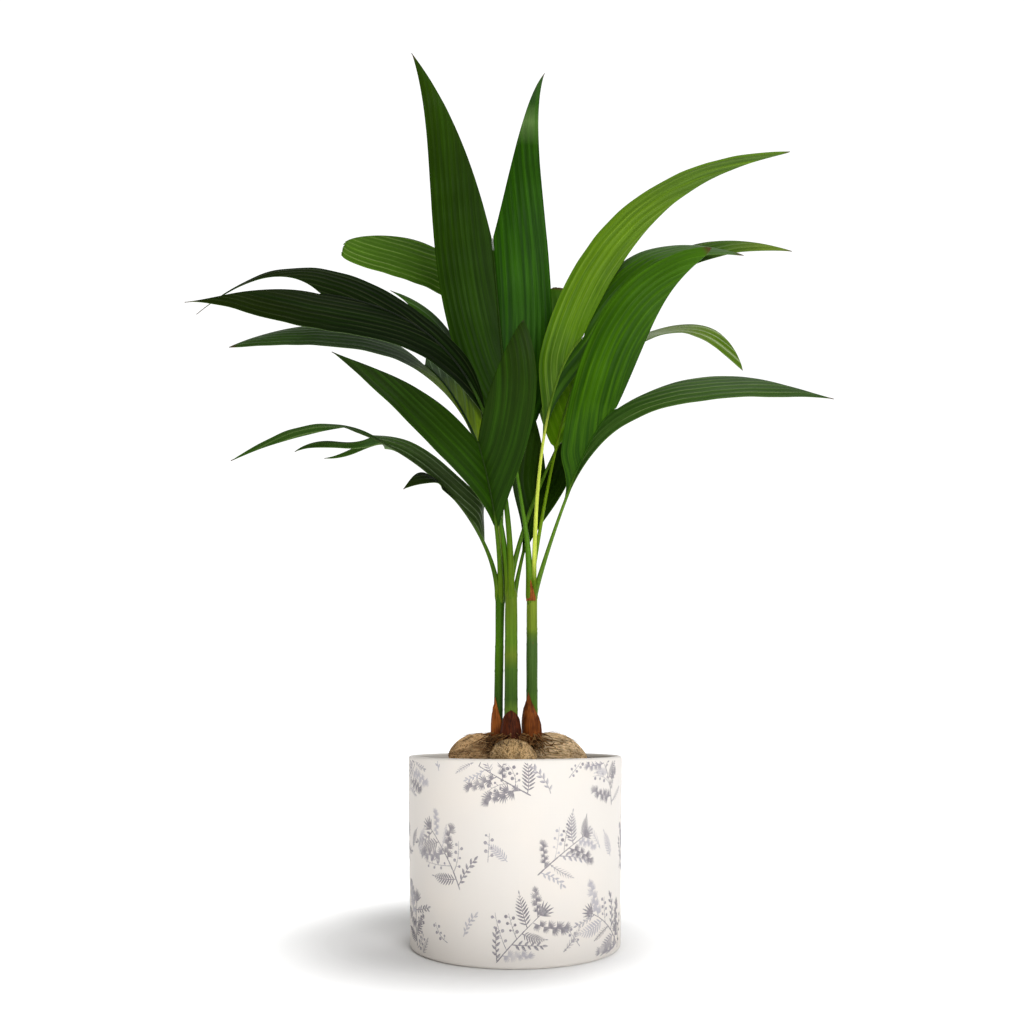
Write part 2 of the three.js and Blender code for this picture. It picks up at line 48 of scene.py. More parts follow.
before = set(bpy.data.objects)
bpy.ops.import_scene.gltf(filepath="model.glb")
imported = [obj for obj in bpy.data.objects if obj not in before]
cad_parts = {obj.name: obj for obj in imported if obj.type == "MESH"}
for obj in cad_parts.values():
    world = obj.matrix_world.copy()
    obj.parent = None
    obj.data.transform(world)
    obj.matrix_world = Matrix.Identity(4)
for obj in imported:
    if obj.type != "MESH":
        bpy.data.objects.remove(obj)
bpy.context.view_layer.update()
MM = 0.001
POT_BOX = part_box("pot")
SOIL_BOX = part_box("soil")
FULL_TURN = 2 * math.pi
TINY = 1e-6


def linear(hex_colour):
    """The linear colour of an sRGB hex value."""
    channels = []
    for start in (0, 2, 4):
        value = int(hex_colour[start : start + 2], 16) / 255
        channels.append(value / 12.92 if value <= 0.04045 else ((value + 0.055) / 1.055) ** 2.4)
    return (*channels, 1.0)


def length(name, description, default):
    """A length property in metres."""
    return bpy.props.FloatProperty(
        name=name, description=description, default=default, min=0.0, unit="LENGTH", precision=4
    )


def tint(name, description, hex_colour):
    """A colour property whose default is an sRGB hex value."""
    return bpy.props.FloatVectorProperty(
        name=name, description=description, default=linear(hex_colour)[:3], subtype="COLOR", min=0.0, max=1.0
    )


def power(name, default):
    """The power of a light."""
    return bpy.props.FloatProperty(name=name, description="Its power in watts", default=default, unit="POWER")


class PotSizes(bpy.types.PropertyGroup):
    height: length("Height", "From the underside to the rim", POT_BOX[1].z)
    rim_radius: length("Rim radius", "Outer radius at the rim", POT_BOX[1].x)
    foot_radius: length("Foot radius", "Outer radius at the foot", 92 * MM)
    wall: length("Wall", "Thickness of the wall", 5 * MM)
    floor: length("Floor", "Thickness of the floor", 8 * MM)
    rim_round: length("Rim rounding", "Radius of the rim's two edges", 2.2 * MM)
    foot_round: length("Foot rounding", "Radius of the foot's edge", 3 * MM)
    print_lift: length("Print thickness", "How far the print stands proud of the wall", 0.1 * MM)
    glaze: tint("Glaze", "Colour of the cream glaze", "E4DFD9")
    ink_dark: tint("Dark ink", "Darkest tone of the print", "6C6773")
    ink_middle: tint("Middle ink", "Middle tone of the print", "88848F")
    ink_pale: tint("Pale ink", "Palest tone of the print", "ACA9B2")


class GroundSizes(bpy.types.PropertyGroup):
    top: length("Compost top", "Height of the compost in the pot", SOIL_BOX[1].z)
    crumb: length("Crumb", "Size of a middling crumb of compost", 2.4 * MM)
    crumbs: bpy.props.IntProperty(name="Crumbs", description="How many loose crumbs", default=620, min=0)
    fibres: bpy.props.IntProperty(name="Husk fibres", description="Loose fibres on a nut", default=120, min=0)


class LeafSizes(bpy.types.PropertyGroup):
    thickness: length("Blade thickness", "Thickness of a leaf blade", 0.45 * MM)
    pleat: length("Pleat spacing", "From one fold of the blade to the next", 5.4 * MM)
    pleat_depth: length("Pleat depth", "How far a fold stands out", 0.16 * MM)
    mesh_step: length("Mesh step", "Distance between points across a blade", 1.1 * MM)
    camber: bpy.props.FloatProperty(
        name="Camber", description="Rise of a blade's middle as a share of its width", default=0.04, min=0.0
    )


class StageSizes(bpy.types.PropertyGroup):
    floor: length("Floor", "Side of the square floor", 30.0)
    floor_colour: tint("Floor colour", "Colour of the floor", "EEEEEE")
    key: power("Key light", 34)
    fill: power("Fill light", 1.8)
    side: power("Side light", 1.0)
    top: power("Top light", 9)
    rim: power("Rim light", 5)


# Each nut lies beside its stem, sunk in the compost. Its husk has light, middling and dark fibres.
NUTS = {
    "left": dict(
        spot=(-33, 12), half=(27, 18.5, 19.5), heading=176, dip=-3, husk=("F6D09C", "D2A470", "4A341E")
    ),
    "middle": dict(
        spot=(-2, -38), half=(27, 19.5, 17.5), heading=-88, dip=6, husk=("F0CC98", "C69E66", "402C18")
    ),
    "right": dict(
        spot=(37, 8), half=(28, 18.5, 19.5), heading=-4, dip=8, husk=("FFE2B8", "E2BC88", "503A22")
    ),
}
ROOT_HUSK = ("A87C48", "6A4422", "20120A")
NUT_SUNK = 4.5
ROOTS = 150

# Each stem leans from its foot on the compost to the cut where its fronds part. Its radii are those at the
# foot, the neck and the top, and its fronds stand in a ring. The bands that old leaf bases leave are colours
# by height. GAP is the slit between two solids. A stem's mesh reaches the cut at STEM_SHARE and closes over
# it in a low dome.
FORK_HEIGHT = 307
FOOT_FLARE, TOP_FLARE = 0.35, 0.2
GAP = 0.3
GROUND = SOIL_BOX[1].z / MM + GAP
BROWN_FOOT = {150: "2A1C0C", 170: "2A1C0C"}
STEM_SHARE, STEM_SUNK, DOME = 0.95, 3, 9
RING_SWELL, RING_REACH, RING_STEP = 0.22, 0.9, 0.066
STEMS = {
    "left": dict(
        foot=(-16, 5), top=(-13.7, 5), radii=(4.8, 4.0, 4.5), ring=2.6,
        bands={180: "2A4210", 205: "304C14", 240: "3C6008", 262: "457006", 300: "365C04"},
    ),
    "middle": dict(
        foot=(-3.8, -6.5), top=(-3.5, -6), radii=(6.8, 5.8, 5.4), ring=3.1,
        bands={
            180: "4A601E", 205: "5E7A26", 214: "3C5A1C", 240: "44641E", 254: "667A20", 266: "587A1A",
            300: "60781C",
        },
    ),
    "right": dict(
        foot=(15, 2), top=(15.3, 0.5), radii=(6.8, 5.0, 4.9), ring=3.0,
        bands={
            180: "4A6A14", 205: "50741A", 222: "425E22", 264: "45622A", 274: "56701E", 278: "6E8424",
            300: "788A28",
        },
    ),
}

# A dry scale wraps its stem from a height, over a spread of degrees round the way it faces.
SCALES = {
    "scale_left": dict(
        stem="left", start=172, height=44, spread=100, faces=232, bulge=1.4, point=1.6, dry="red_brown"
    ),
    "scale_middle": dict(
        stem="middle", start=170, height=34, spread=130, faces=-90, bulge=2.6, point=4.5, dry="maroon"
    ),
    "scale_right": dict(
        stem="right", start=176, height=44, spread=120, faces=235, bulge=3.2, point=1.5, dry="rust"
    ),
    "sheath_right": dict(
        stem="right", start=303, height=19, spread=45, faces=-102, bulge=0.3, point=1.2, dry="red_brown"
    ),
}
DRY_COLOURS = {
    "red_brown": ("A85E20", "50200A"),
    "rust": ("94501A", "441A06"),
    "maroon": ("602A0E", "240A02"),
}
SCALE_GAP = 0.75
SCALE_THICKNESS = 0.5

# Leaf finishes: colours from stalk to tip, then streaks, ribs, rib strength, gloss, and where the tip dries.
# A rib's pale colour is partly its own tone and partly a painted highlight, and some finishes paint light or
# shade, as said at each.
FINISHES = {
    "deep": ({0: "173102", 0.6: "1E3502", 1: "2A4303"}, "2A4A03", "38541A", 0.08, 0.06, 0.97),
    "front": ({0: "1D3A02", 0.6: "1C3302", 1: "203208"}, "294C04", "3A5418", 0.10, 0.06, 0.99),
    # The pale stop at 0.82 is a painted highlight: a band of gloss painted across the blade's colour.
    "glossy": (
        {0: "133002", 0.45: "1D4202", 0.75: "1C3E02", 0.82: "5C7A40", 0.88: "22460A", 1: "28460E"},
        "326304", "38600E", 0.10, 0.06, 0.97,
    ),
    "leafy": ({0: "1E4003", 0.55: "264A03", 1: "3D6608"}, "457206", "55731E", 0.11, 0.07, 0.97),
    # Painted shade: the leaf's dark green taken near-black for fronds on the left that turn from the lamps.
    "dark": ({0: "071202", 0.5: "0A1602", 1: "223008"}, "142804", "4A5434", 0.20, 0.03, 0.96),
    "fresh": (
        {0: "284A01", 0.3: "4C7202", 0.65: "567618", 1: "4C682C"}, "688C14", "8CA648", 0.18, 0.08, 0.98
    ),
    # Painted light: a bright yellow-green that shows the blade as if lit through from behind.
    "lit": ({0: "5C8A06", 0.5: "4A7A05", 1: "2E5A05"}, "6A9610", "86A63A", 0.18, 0.08, 0.97),
    # Painted light: a lighter copy of the leaf green for a blade that faces the light.
    "sunny": ({0: "2B5208", 0.5: "2F5404", 1: "4E7020"}, "507B0D", "8A9E5C", 0.32, 0.10, 2.0),
    # Painted light and shade: bright green near the stalk and a pale tip as painted light, near-black over
    # the middle as painted shade.
    "shaded": (
        {0: "5C8A06", 0.22: "487205", 0.4: "102603", 0.7: "143004", 0.85: "466616", 1: "788C34"},
        "2C4C0A", "788E52", 0.26, 0.06, 0.98,
    ),
    # Painted reflection: a greyish sheen painted into the green, beside the finish's own small gloss.
    "silvery": ({0: "33461F", 0.6: "34491C", 1: "3D620C"}, "4E6236", "7C8E6C", 0.42, 0.14, 0.97),
    "budding": (
        {0: "96B21A", 0.26: "7A9A14", 0.4: "2C4220", 1: "355A07"}, "3F5330", "647A5A", 0.38, 0.14, 0.97
    ),
    "misty": ({0: "8A9C72", 0.5: "728836", 0.8: "4D6B05", 1: "4D6B05"}, "8C9E66", "A8B498", 0.35, 0.14, 0.98),
    "under": ({0: "274712", 0.6: "36551A", 1: "315211"}, "496827", "788E54", 0.32, 0.14, 0.97),
}
SHEATH = "56740F"


def frond_row(stem, slot, thick, fork, rise, bare, stalk, girth=1.2, **lobes):
    """A frond's row.

    It stands on its stem in the slot of that heading. Its stalk is that thick, with so much more girth at its
    foot, and ends at the fork (heading, reach, rise). rise is how far it goes straight up, the lead over
    which it runs into the fork, and its pitch there. It is bare up to that share of its length, where its
    blades begin, and stalk is its colour.
    """
    lift, lead, pitch = rise
    course = dict(stem=stem, slot=slot, thick=thick, fork=fork, lift=lift, lead=lead, pitch=pitch)
    return dict(course, bare=bare, stalk=stalk, girth=girth, lobes=lobes)


def lobe_row(side, tip, bend, outline, tilt=(20, 50), front="leafy", back="under", **others):
    """A lobe's row.

    side is the side of the stalk, tip its heading, reach and rise from the base. bend is its arch, nod and
    sweep. outline is its width, where it is fullest and how it tapers. tilt is how far it faces up at the
    base and at the tip. front and back are finishes. Of the stalk above its bare part, the blade grows on the
    stretch from start to end. faces is a heading, lead_in the share over which it widens, and thread its
    least width. A blunt one ends in a frayed edge. Where solid is 0 it stands for no solid.
    """
    usual = dict(start=0, end=1, faces=-90, blunt=0, lead_in=0.03, thread=1.6, solid=1)
    usual |= others
    return dict(usual, side=side, tip=tip, bend=bend, outline=outline, tilt=tilt, front=front, back=back)


FRONDS = {
    "front": frond_row(
        "left", -75, 1.6, (-117, 45, 134), (66, 23, 52), 0.33, "4A6C0A",
        left=lobe_row(-1, (-150, 159, 137), (17, 3, 19), (36, 0.52, 1.15), (10, 30), "front"),
        right=lobe_row(1, (-70, 69, 171), (-14, 5, -7), (41, 0.58, 0.78), (0, 10), "front"),
    ),
    "upright": frond_row(
        "right", -135, 1.8, (135, 50, 359), (92, 296, 84), 0.64, "56821C", girth=1.8,
        left=lobe_row(-1, (156, 114, 427), (5, -7, 4), (59, 0.38, 1.02), (5, 5), "deep"),
        right=lobe_row(1, (59, 64, 411), (4, -17, -2), (41, 0.29, 0.91), (5, 5), "glossy"),
    ),
    "left_high": frond_row(
        "middle", -95, 1.8, (-172, 174, 271), (194, 112, 4), 0.36, "3C600E",
        upper=lobe_row(
            1, (-178, 264, 93), (55, -22, 15), (90, 0.23, 1.4), (30, 50), "dark", faces=-100, thread=3.2
        ),
        lower=lobe_row(-1, (-170, 266, 88), (43, 3, 6), (55, 0.64, 1.6), (20, 25), "dark", thread=2.4),
    ),
    "left_mid": frond_row(
        "middle", -178, 1.6, (155, 89, 230), (95, 50, 36), 0.45, "4C7812",
        lower=lobe_row(-1, (172, 253, 124), (65, 3, -8), (39, 0.73, 0.81), (30, 40), "budding", faces=-110),
        upper=lobe_row(1, (143, 124, 200), (12, -8, -17), (28, 0.39, 0.96), (30, 30), "budding", faces=-110),
    ),
    "left_low": frond_row(
        "left", 190, 1.6, (-172, 140, 153), (48, 98, 16), 0.3, "3E6008",
        blade=lobe_row(1, (-177, 102, 100), (1, -10, 1), (84, 0.21, 1.12), (30, 30), "silvery", end=0.84),
        end=lobe_row(1, (-167, 135, -24), (21, 2, -4), (14, 0.42, 0.98), (30, 30), "under", start=0.8),
        long=lobe_row(-1, (167, 86, -3), (2, -3, 0), (9, 0.59, 0.9), (30, 30), "under", start=0.82, end=0.88),
        short=lobe_row(
            -1, (154, 83, 4), (11, 4, -8), (8, 0.46, 0.9), (20, 20), "under", start=0.73, end=0.79
        ),
        hanging=lobe_row(
            -1, (-144, 58, 5), (19, 2, 2), (23, 0.45, 1.05), (30, 30), "dark", start=0.3, end=0.48
        ),
    ),
    "bright": frond_row(
        "right", -48, 1.8, (7, 47, 246), (86, 55, 43), 0.52, "D2E058", girth=0.6,
        upper=lobe_row(
            -1, (-2, 233, 275), (70, -7, 0), (42, 0.3, 0.71), (10, 15), "fresh", "fresh", lead_in=0.2
        ),
        lower=lobe_row(1, (5, 194, 186), (53, -15, -1), (37, 0.75, 0.61), (40, 45), faces=-60, lead_in=0.4),
    ),
    "right_back": frond_row(
        "right", 132, 1.6, (21, 63, 223), (5, 31, -34), 0.56, "6A8A0C",
        lower=lobe_row(1, (5, 234, 205), (63, -16, 16), (29, 0.66, 0.91), (40, 20), "shaded"),
        back=lobe_row(-1, (84, 150, 138), (20, 0, 0), (40, 0.45, 0.9), front="lit"),
    ),
    "right_fan": frond_row(
        "right", 42, 1.8, (-34, 86, 160), (5, 33, 11), 0.52, "567A1C",
        upper=lobe_row(-1, (-15, 134, 221), (23, -10, -20), (51, 0.42, 0.59), (10, 15), lead_in=0.16),
        lower=lobe_row(1, (-19, 232, 69), (50, 6, -18), (35, 0.62, 1.25), (30, 40), "under"),
    ),
    "back_left": frond_row(
        "left", 15, 1.6, (114, 104, 331), (144, 119, 76), 0.47, "8AA432",
        left=lobe_row(
            -1, (146, 201, 243), (68, 0, -44), (52, 0.75, 0.35), (10, 10), "sunny", "sunny", blunt=1
        ),
        right=lobe_row(1, (66, 150, 190), (30, 0, 0), (40, 0.45, 0.9), back="deep"),
    ),
    "back_right": frond_row(
        "middle", 112, 1.6, (36, 167, 287), (60, 80, 30), 0.76, "4C7012",
        right=lobe_row(1, (17, 159, 18), (35, -1, -25), (18, 0.72, 0.78), (30, 0), "misty", faces=-80),
        back=lobe_row(-1, (84, 150, 90), (40, 0, 0), (38, 0.45, 0.9), faces=-80),
    ),
    "low_right": frond_row(
        "middle", 30, 1.6, (57, 57, 128), (4, 40, 55), 0.42, "4C7012",
        right=lobe_row(
            1, (14, 92, 148), (18, -3, 0), (37, 0.3, 0.69), (35, 35), "deep", faces=-80, lead_in=0.5
        ),
        left=lobe_row(-1, (80, 22, 150), (-8, 0, -3), (32, 0.45, 0.55), (10, 20), "deep", lead_in=0.55),
    ),
    "rear": frond_row(
        "left", 100, 1.6, (87, 98, 221), (50, 66, 76), 0.6, "4C7012",
        left=lobe_row(-1, (104, 170, 110), (50, 0, 0), (42, 0.45, 0.9), back="deep"),
        right=lobe_row(1, (86, 180, 90), (50, 0, 0), (42, 0.45, 0.9), back="deep"),
        top=lobe_row(1, (-2, 57, 128), (-10, 0, 0), (36, 0.7, 0.3), (5, 5), start=0.9, blunt=1, solid=0),
    ),
}
NOD_SCALE = 10.4
FORK_FADE = 0.4
RIB_FORK_RADIUS = 1.0
# A stalk's first lengths run down inside the stem's skin, so that stalk and stem part gradually. It thins
# from STALK_TIP on, and a channel runs along it whose depth is a share of its radius.
SUNK_SHARE, SUNK_DEPTH = 0.06, 16
STALK_TIP = 0.97
CHANNEL = 0.22
SEED_STEP = 3.7

# How many squares each mesh has along and around, and the length of a blade's squares.
POT_STEPS = 160
COMPOST_MESH = (60, 160)
NUT_MESH = (112, 72)
STEM_MESH = (150, 40)
SCALE_MESH = (44, 36)
STALK_MESH = (90, 14)
STRAND_STEPS = 7
BLADE_STEP = 3.4

# The print's rows by their share of the pot's height, its columns, and the sizes of its bouquets and of the
# stray sprigs, which stand at these drifts from the middle between two bouquets.
PRINT_ROWS = (0.12, 0.51, 0.9)
PRINT_COLUMNS = 6
BOUQUET_SIZES = (48, 60)
STRAY_SIZES = (16, 26)
STRAY_DRIFTS = (-9, 7)
INNER_SPRAYS = 16
INNER_SPRAY_SIZE = 17
SPRIG_STEPS = 10

# The compost's depth, the dip of its surface below its top and the height of its bumps.
COMPOST_DEPTH, COMPOST_DIP, COMPOST_BUMP = 12 * MM, 2.2 * MM, 1.6 * MM

# Each light's place and side in metres, the height on the pot's axis that it aims at, and its colour.
WHITE = (1, 1, 1)
LIGHTS = {
    "key": ((0.75, -2.15, 1.5), 1.1, 0.35, WHITE),
    "side": ((2.2, -0.7, 1.0), 1.0, 0.3, WHITE),
    "fill": ((-2.0, -0.8, 0.9), 1.4, 0.35, (1.0, 0.72, 0.42)),
    "top": ((0.3, 0.1, 2.3), 1.4, 0.2, WHITE),
    "rim": ((0.9, 1.5, 1.3), 1.0, 0.5, WHITE),
}
# The floor's painted shadow lies round a point left of the pot's axis and behind it, where its painted glow
# is nil; the glow rises between two distances from that point.
FLOOR_DROP = 0.3 * MM
PAINTED_SHADOW_MIDDLE = (-35 * MM, 25 * MM, 0)
PAINTED_GLOW_REACH = (0.09, 0.29)
AIR_DIM, AIR_BRIGHT = 0.12, 1.1
# The camera is worked out from the pot's rim and foot: its eye, its tilt, and the shift of the frame.
EYE = (-2.85, -859.5, 192)
EYE_TILT = 95.5
SENSOR, LENS, FRAME_SHIFT = 36, 33.48, 0.1174
FAR_END = 60


# Shapes


def headed(heading, pitch=0.0):
    """The unit vector of a heading and a pitch in degrees."""
    turn, tip = math.radians(heading), math.radians(pitch)
    return Vector((math.cos(turn) * math.cos(tip), math.sin(turn) * math.cos(tip), math.sin(tip)))


def round_point(angle):
    return Vector((math.cos(angle), math.sin(angle), 0))


def raised(height):
    return Vector((0, 0, height))


def offset(start, way):
    heading, reach, rise = way
    return start + headed(heading) * reach + raised(rise)


def cubic(controls, share):
    """A point of a Bezier curve."""
    rest = 1 - share
    weights = (rest**3, 3 * share * rest**2, 3 * share**2 * rest, share**3)
    return sum((point * weight for point, weight in zip(controls, weights)), Vector())


def stalk_controls(frond):
    """The four control points of a frond's stalk, from its slot on the stem to its fork."""
    stem = STEMS[frond["stem"]]
    root = Vector((*stem["top"], FORK_HEIGHT + GAP)) + headed(frond["slot"]) * stem["ring"]
    fork = offset(root, frond["fork"])
    lead = fork - headed(frond["fork"][0], frond["pitch"]) * frond["lead"]
    return [root, root + raised(frond["lift"]), lead, fork]


def stalk_radius(frond, share):
    return frond["thick"] + (RIB_FORK_RADIUS - frond["thick"]) * max(0.0, share) ** 0.8


def lobe_line(base, lobe, share):
    """The middle line of a lobe from its base on the stalk to its tip."""
    arch, nod, sweep = lobe["bend"]
    chord = offset(base, lobe["tip"]) - base
    sideways = headed(math.degrees(math.atan2(chord.y, chord.x)) + 90)
    up = chord.cross(sideways).normalized()
    hump = 4 * share * (1 - share)
    wave = NOD_SCALE * share * (1 - share) * (1 - 2 * share)
    return base + chord * share + up * (hump * arch + wave * nod) + sideways * hump * sweep


def half_width(lobe, share):
    width, fullest, taper = lobe["outline"]
    power = math.log(0.5) / math.log(fullest)
    return width / 2 * abs(math.sin(math.pi * share**power)) ** taper


def path_length(point_at, start, end, steps=40):
    points = [point_at(start + (end - start) * i / steps) for i in range(steps + 1)]
    return sum((b - a).length for a, b in zip(points, points[1:]))


def stem_at(stem, share):
    """The middle and radius of a stem at a share of its height, with a flare at the foot and at the fork."""
    foot_radius, neck_radius, top_radius = stem["radii"]
    foot = Vector((*stem["foot"], GROUND))
    top = Vector((*stem["top"], FORK_HEIGHT))
    foot_flare = (foot_radius - neck_radius) * max(0.0, 1 - share / FOOT_FLARE) ** 2
    top_flare = (top_radius - neck_radius) * max(0.0, (share - 1 + TOP_FLARE) / TOP_FLARE) ** 2
    return foot.lerp(top, share), neck_radius + foot_flare + top_flare


# Mesh helpers


def draped_sheet(bm, along, around, place, closed=False):
    """Adds a sheet of small squares and moves each point to place(share along, share around)."""
    made = bmesh.ops.create_grid(bm, x_segments=along, y_segments=around, size=0.5)["verts"]
    shares = {}
    for vert in made:
        shares[vert] = (min(1.0, max(0.0, vert.co.x + 0.5)), min(1.0, max(0.0, vert.co.y + 0.5)))
    for vert, (u, v) in shares.items():
        vert.co = place(u, v)
    if closed:
        seam = [vert for vert, (u, v) in shares.items() if v < TINY or v > 1 - TINY]
        bmesh.ops.remove_doubles(bm, verts=seam, dist=1e-7)
    return shares


def close_ends(bm):
    """Fills every open ring of a bmesh and points all its faces outwards."""
    rim = [edge for edge in bm.edges if edge.is_boundary]
    if rim:
        bmesh.ops.holes_fill(bm, edges=rim, sides=0)
    bmesh.ops.recalc_face_normals(bm, faces=bm.faces)


def finish_piece(bm, name, materials, replaces=(), smooth=True):
    """Turns a bmesh into a piece of the plant that rides on the root body."""
    mesh = bpy.data.meshes.new(name)
    bm.to_mesh(mesh)
    bm.free()
    for material in materials:
        mesh.materials.append(material)
    if smooth:
        mesh.shade_smooth()
    piece = bpy.data.objects.new(name, mesh)
    bpy.context.scene.collection.objects.link(piece)
    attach(piece, "root")
    if replaces:
        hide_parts(*replaces)
    return piece


def thicken(piece, thickness):
    """Gives a one-sided sheet its thickness, half on each side."""
    shell = piece.modifiers.new("thickness", "SOLIDIFY")
    shell.thickness = thickness
    shell.offset = 0
    return shell


# Materials

MIX, MATH, RAMP, MAP = "ShaderNodeMix", "ShaderNodeMath", "ShaderNodeValToRGB", "ShaderNodeMapRange"
# Settings that many nodes share: an eased change of range, and a mix or a darkening of two colours.
EASED = {"interpolation_type": "SMOOTHSTEP"}
MIXED = {"output": 2, "data_type": "RGBA"}
DARKENED = {**MIXED, "blend_type": "MULTIPLY"}


def wire(tree, node, inputs):
    """Links or fills a node's inputs, by name or number or else in order. Text is a hex colour."""
    pairs = inputs.items() if isinstance(inputs, dict) else enumerate(inputs)
    for socket, value in pairs:
        if isinstance(value, bpy.types.NodeSocket):
            tree.links.new(value, node.inputs[socket])
        else:
            node.inputs[socket].default_value = linear(value) if isinstance(value, str) else value


def add(tree, kind, inputs=(), output=0, stops=None, **settings):
    """Adds a node with its settings and links, and a ramp's colours by place. Returns one of its outputs."""
    node = tree.nodes.new(kind)
    for name, value in settings.items():
        setattr(node, name, value)
    wire(tree, node, inputs)
    if stops:
        elements = node.color_ramp.elements
        (start, first), *middle, (end, last) = stops.items()
        elements[0].position, elements[0].color = start, linear(first)
        elements[1].position, elements[1].color = end, linear(last)
        for position, colour in middle:
            elements.new(position).color = linear(colour)
    return node.outputs[output]


def new_material(name, **constants):
    """A material with a Principled shader whose constant sockets are set directly."""
    material = bpy.data.materials.new(name)
    material.use_nodes = True
    tree = material.node_tree
    shader = tree.nodes["Principled BSDF"]
    for socket, value in constants.items():
        shader.inputs[socket.replace("_", " ")].default_value = value
    return material, tree, shader


def grain(tree, place, scale, stretch=(1, 1, 1), detail=3.0, roughness=0.55):
    """A noise pattern on a place, stretched along the way the fibres run."""
    mapped = add(tree, "ShaderNodeMapping", {"Vector": place, "Scale": stretch})
    inputs = {"Vector": mapped, "Scale": scale, "Detail": detail, "Roughness": roughness}
    return add(tree, "ShaderNodeTexNoise", inputs, output="Fac")


def overlay(tree, base, colour, pattern, span, shares=(0, 1), settings=MIXED):
    """Lays a colour over a base by a share that goes between two values as the pattern goes over its span."""
    share = add(tree, MAP, (pattern, *span, *shares), **EASED)
    return add(tree, MIX, {0: share, 6: base, 7: colour}, **settings)


def dress(tree, shader, colour, relief, depth, strength, rough=None):
    """Gives a shader its colour, its relief with the depth in millimetres, and its roughness if given."""
    bump = {"Height": relief, "Distance": depth * MM, "Strength": strength}
    wire(tree, shader, {"Base Color": colour, "Normal": add(tree, "ShaderNodeBump", bump)})
    if rough:
        wire(tree, shader, {"Roughness": rough})


def leaf_skin(finish):
    """Living palm leaf, grown: a waxy skin over parallel veins gives a soft gloss that the folds break up."""
    colours, streak, rib, rib_strength, gloss, dry_from = FINISHES[finish]
    material, tree, shader = new_material(f"leaf_waxy_{finish}", IOR=1.42, Specular_IOR_Level=gloss)
    uv = add(tree, "ShaderNodeUVMap", uv_map="blade")
    across = add(tree, "ShaderNodeSeparateXYZ", (uv,), output="X")
    share = add(tree, "ShaderNodeAttribute", output="Fac", attribute_name="share")
    place = add(tree, "ShaderNodeTexCoord", output="Object")
    # A rib is drawn about 0.7 mm wide, and the fine veins stand about 0.8 mm apart.
    folds = add(tree, MATH, (across, 1 / bpy.context.scene.palm_leaves.pleat), operation="MULTIPLY")
    fold = add(tree, MATH, (folds, 0.5), operation="PINGPONG")
    rib_line = add(tree, MAP, (fold, 0.02, 0.14, 1.0, 0.0), **EASED)
    veins = grain(tree, uv, 1.0, (1 / (0.8 * MM), 14, 1))
    streaks = grain(tree, uv, 1.0, (1 / (4.5 * MM), 6, 1))
    fading = grain(tree, uv, 1.0, (1 / (7 * MM), 12, 1), detail=2.0)
    patches = grain(tree, place, 22.0, detail=2.0)
    painted_valley_shade = (0, 0.08 + 0.5 * rib_strength)
    base = add(tree, RAMP, (share,), stops=colours)
    streaked = overlay(tree, base, streak, streaks, (0.42, 0.68), (0, 0.65))
    cloudy = overlay(tree, streaked, (0.55, 0.6, 0.5, 1), patches, (0.35, 0.7), (0.3, 0), DARKENED)
    # Painted shade: the blade darkens in the valleys between its folds.
    folded = overlay(tree, cloudy, (0.35, 0.42, 0.3, 1), fold, (0.28, 0.5), painted_valley_shade, DARKENED)
    veined = overlay(tree, folded, (0.45, 0.52, 0.4, 1), veins, (0.35, 0.6), (0.42, 0), DARKENED)
    # Each fold's crest takes the pale rib colour: partly the rib's own tone, partly a painted highlight.
    strength = add(tree, MAP, (fading, 0.35, 0.62, 0.25 * rib_strength, 1.5 * rib_strength), **EASED)
    rib_share = add(tree, MATH, (rib_line, strength), operation="MULTIPLY")
    rib_tone_and_highlight = add(tree, MIX, {0: rib_share, 6: veined, 7: rib}, **MIXED)
    # The last few millimetres of a tip dry out to a brown thread.
    tipped = overlay(tree, rib_tone_and_highlight, "4A3A1E", share, (dry_from, dry_from + 0.025))
    rough = add(tree, MAP, (veins, 0.3, 0.7, 0.5, 0.38), **EASED)
    fine = add(tree, MATH, (veins, 0.5), operation="MULTIPLY")
    relief = add(tree, MATH, (rib_line, 0.6, fine), operation="MULTIPLY_ADD")
    dress(tree, shader, tipped, relief, 0.2, 0.5, rough)
    return material


def stalk_skin(name, frond):
    """Living palm stalk, grown: smooth and firm with fine long fibres, so its gloss runs in one long line."""
    constants = dict(Roughness=0.4, IOR=1.42, Specular_IOR_Level=0.12)
    material, tree, shader = new_material(f"stalk_smooth_{name}", **constants)
    share = add(tree, "ShaderNodeAttribute", output="Fac", attribute_name="share")
    place = add(tree, "ShaderNodeTexCoord", output="Object")
    first_lobe = next(iter(frond["lobes"].values()))
    leaf_colour = list(FINISHES[first_lobe["front"]][0].values())[-2]
    # Green where it leaves the stem, its own colour below the blades, and theirs where they grow on it, with
    # the painted light or shade that some of their finishes carry.
    stops = {0: SHEATH, 0.05: SHEATH, 0.14: frond["stalk"], frond["bare"]: frond["stalk"]}
    stops |= {min(0.97, frond["bare"] + 0.12): leaf_colour, 1: leaf_colour}
    colour = add(tree, RAMP, (share,), stops=stops)
    fibres = grain(tree, place, 1.0, (1 / (0.8 * MM), 1 / (0.8 * MM), 25))
    patches = grain(tree, place, 30.0)
    lined = overlay(tree, colour, (0.45, 0.5, 0.4, 1), fibres, (0.35, 0.65), (0.55, 0), DARKENED)
    paler = overlay(tree, lined, (1.4, 1.25, 1, 1), patches, (0.5, 0.75), (0, 0.4), DARKENED)
    dress(tree, shader, paler, fibres, 0.15, 0.5)
    return material


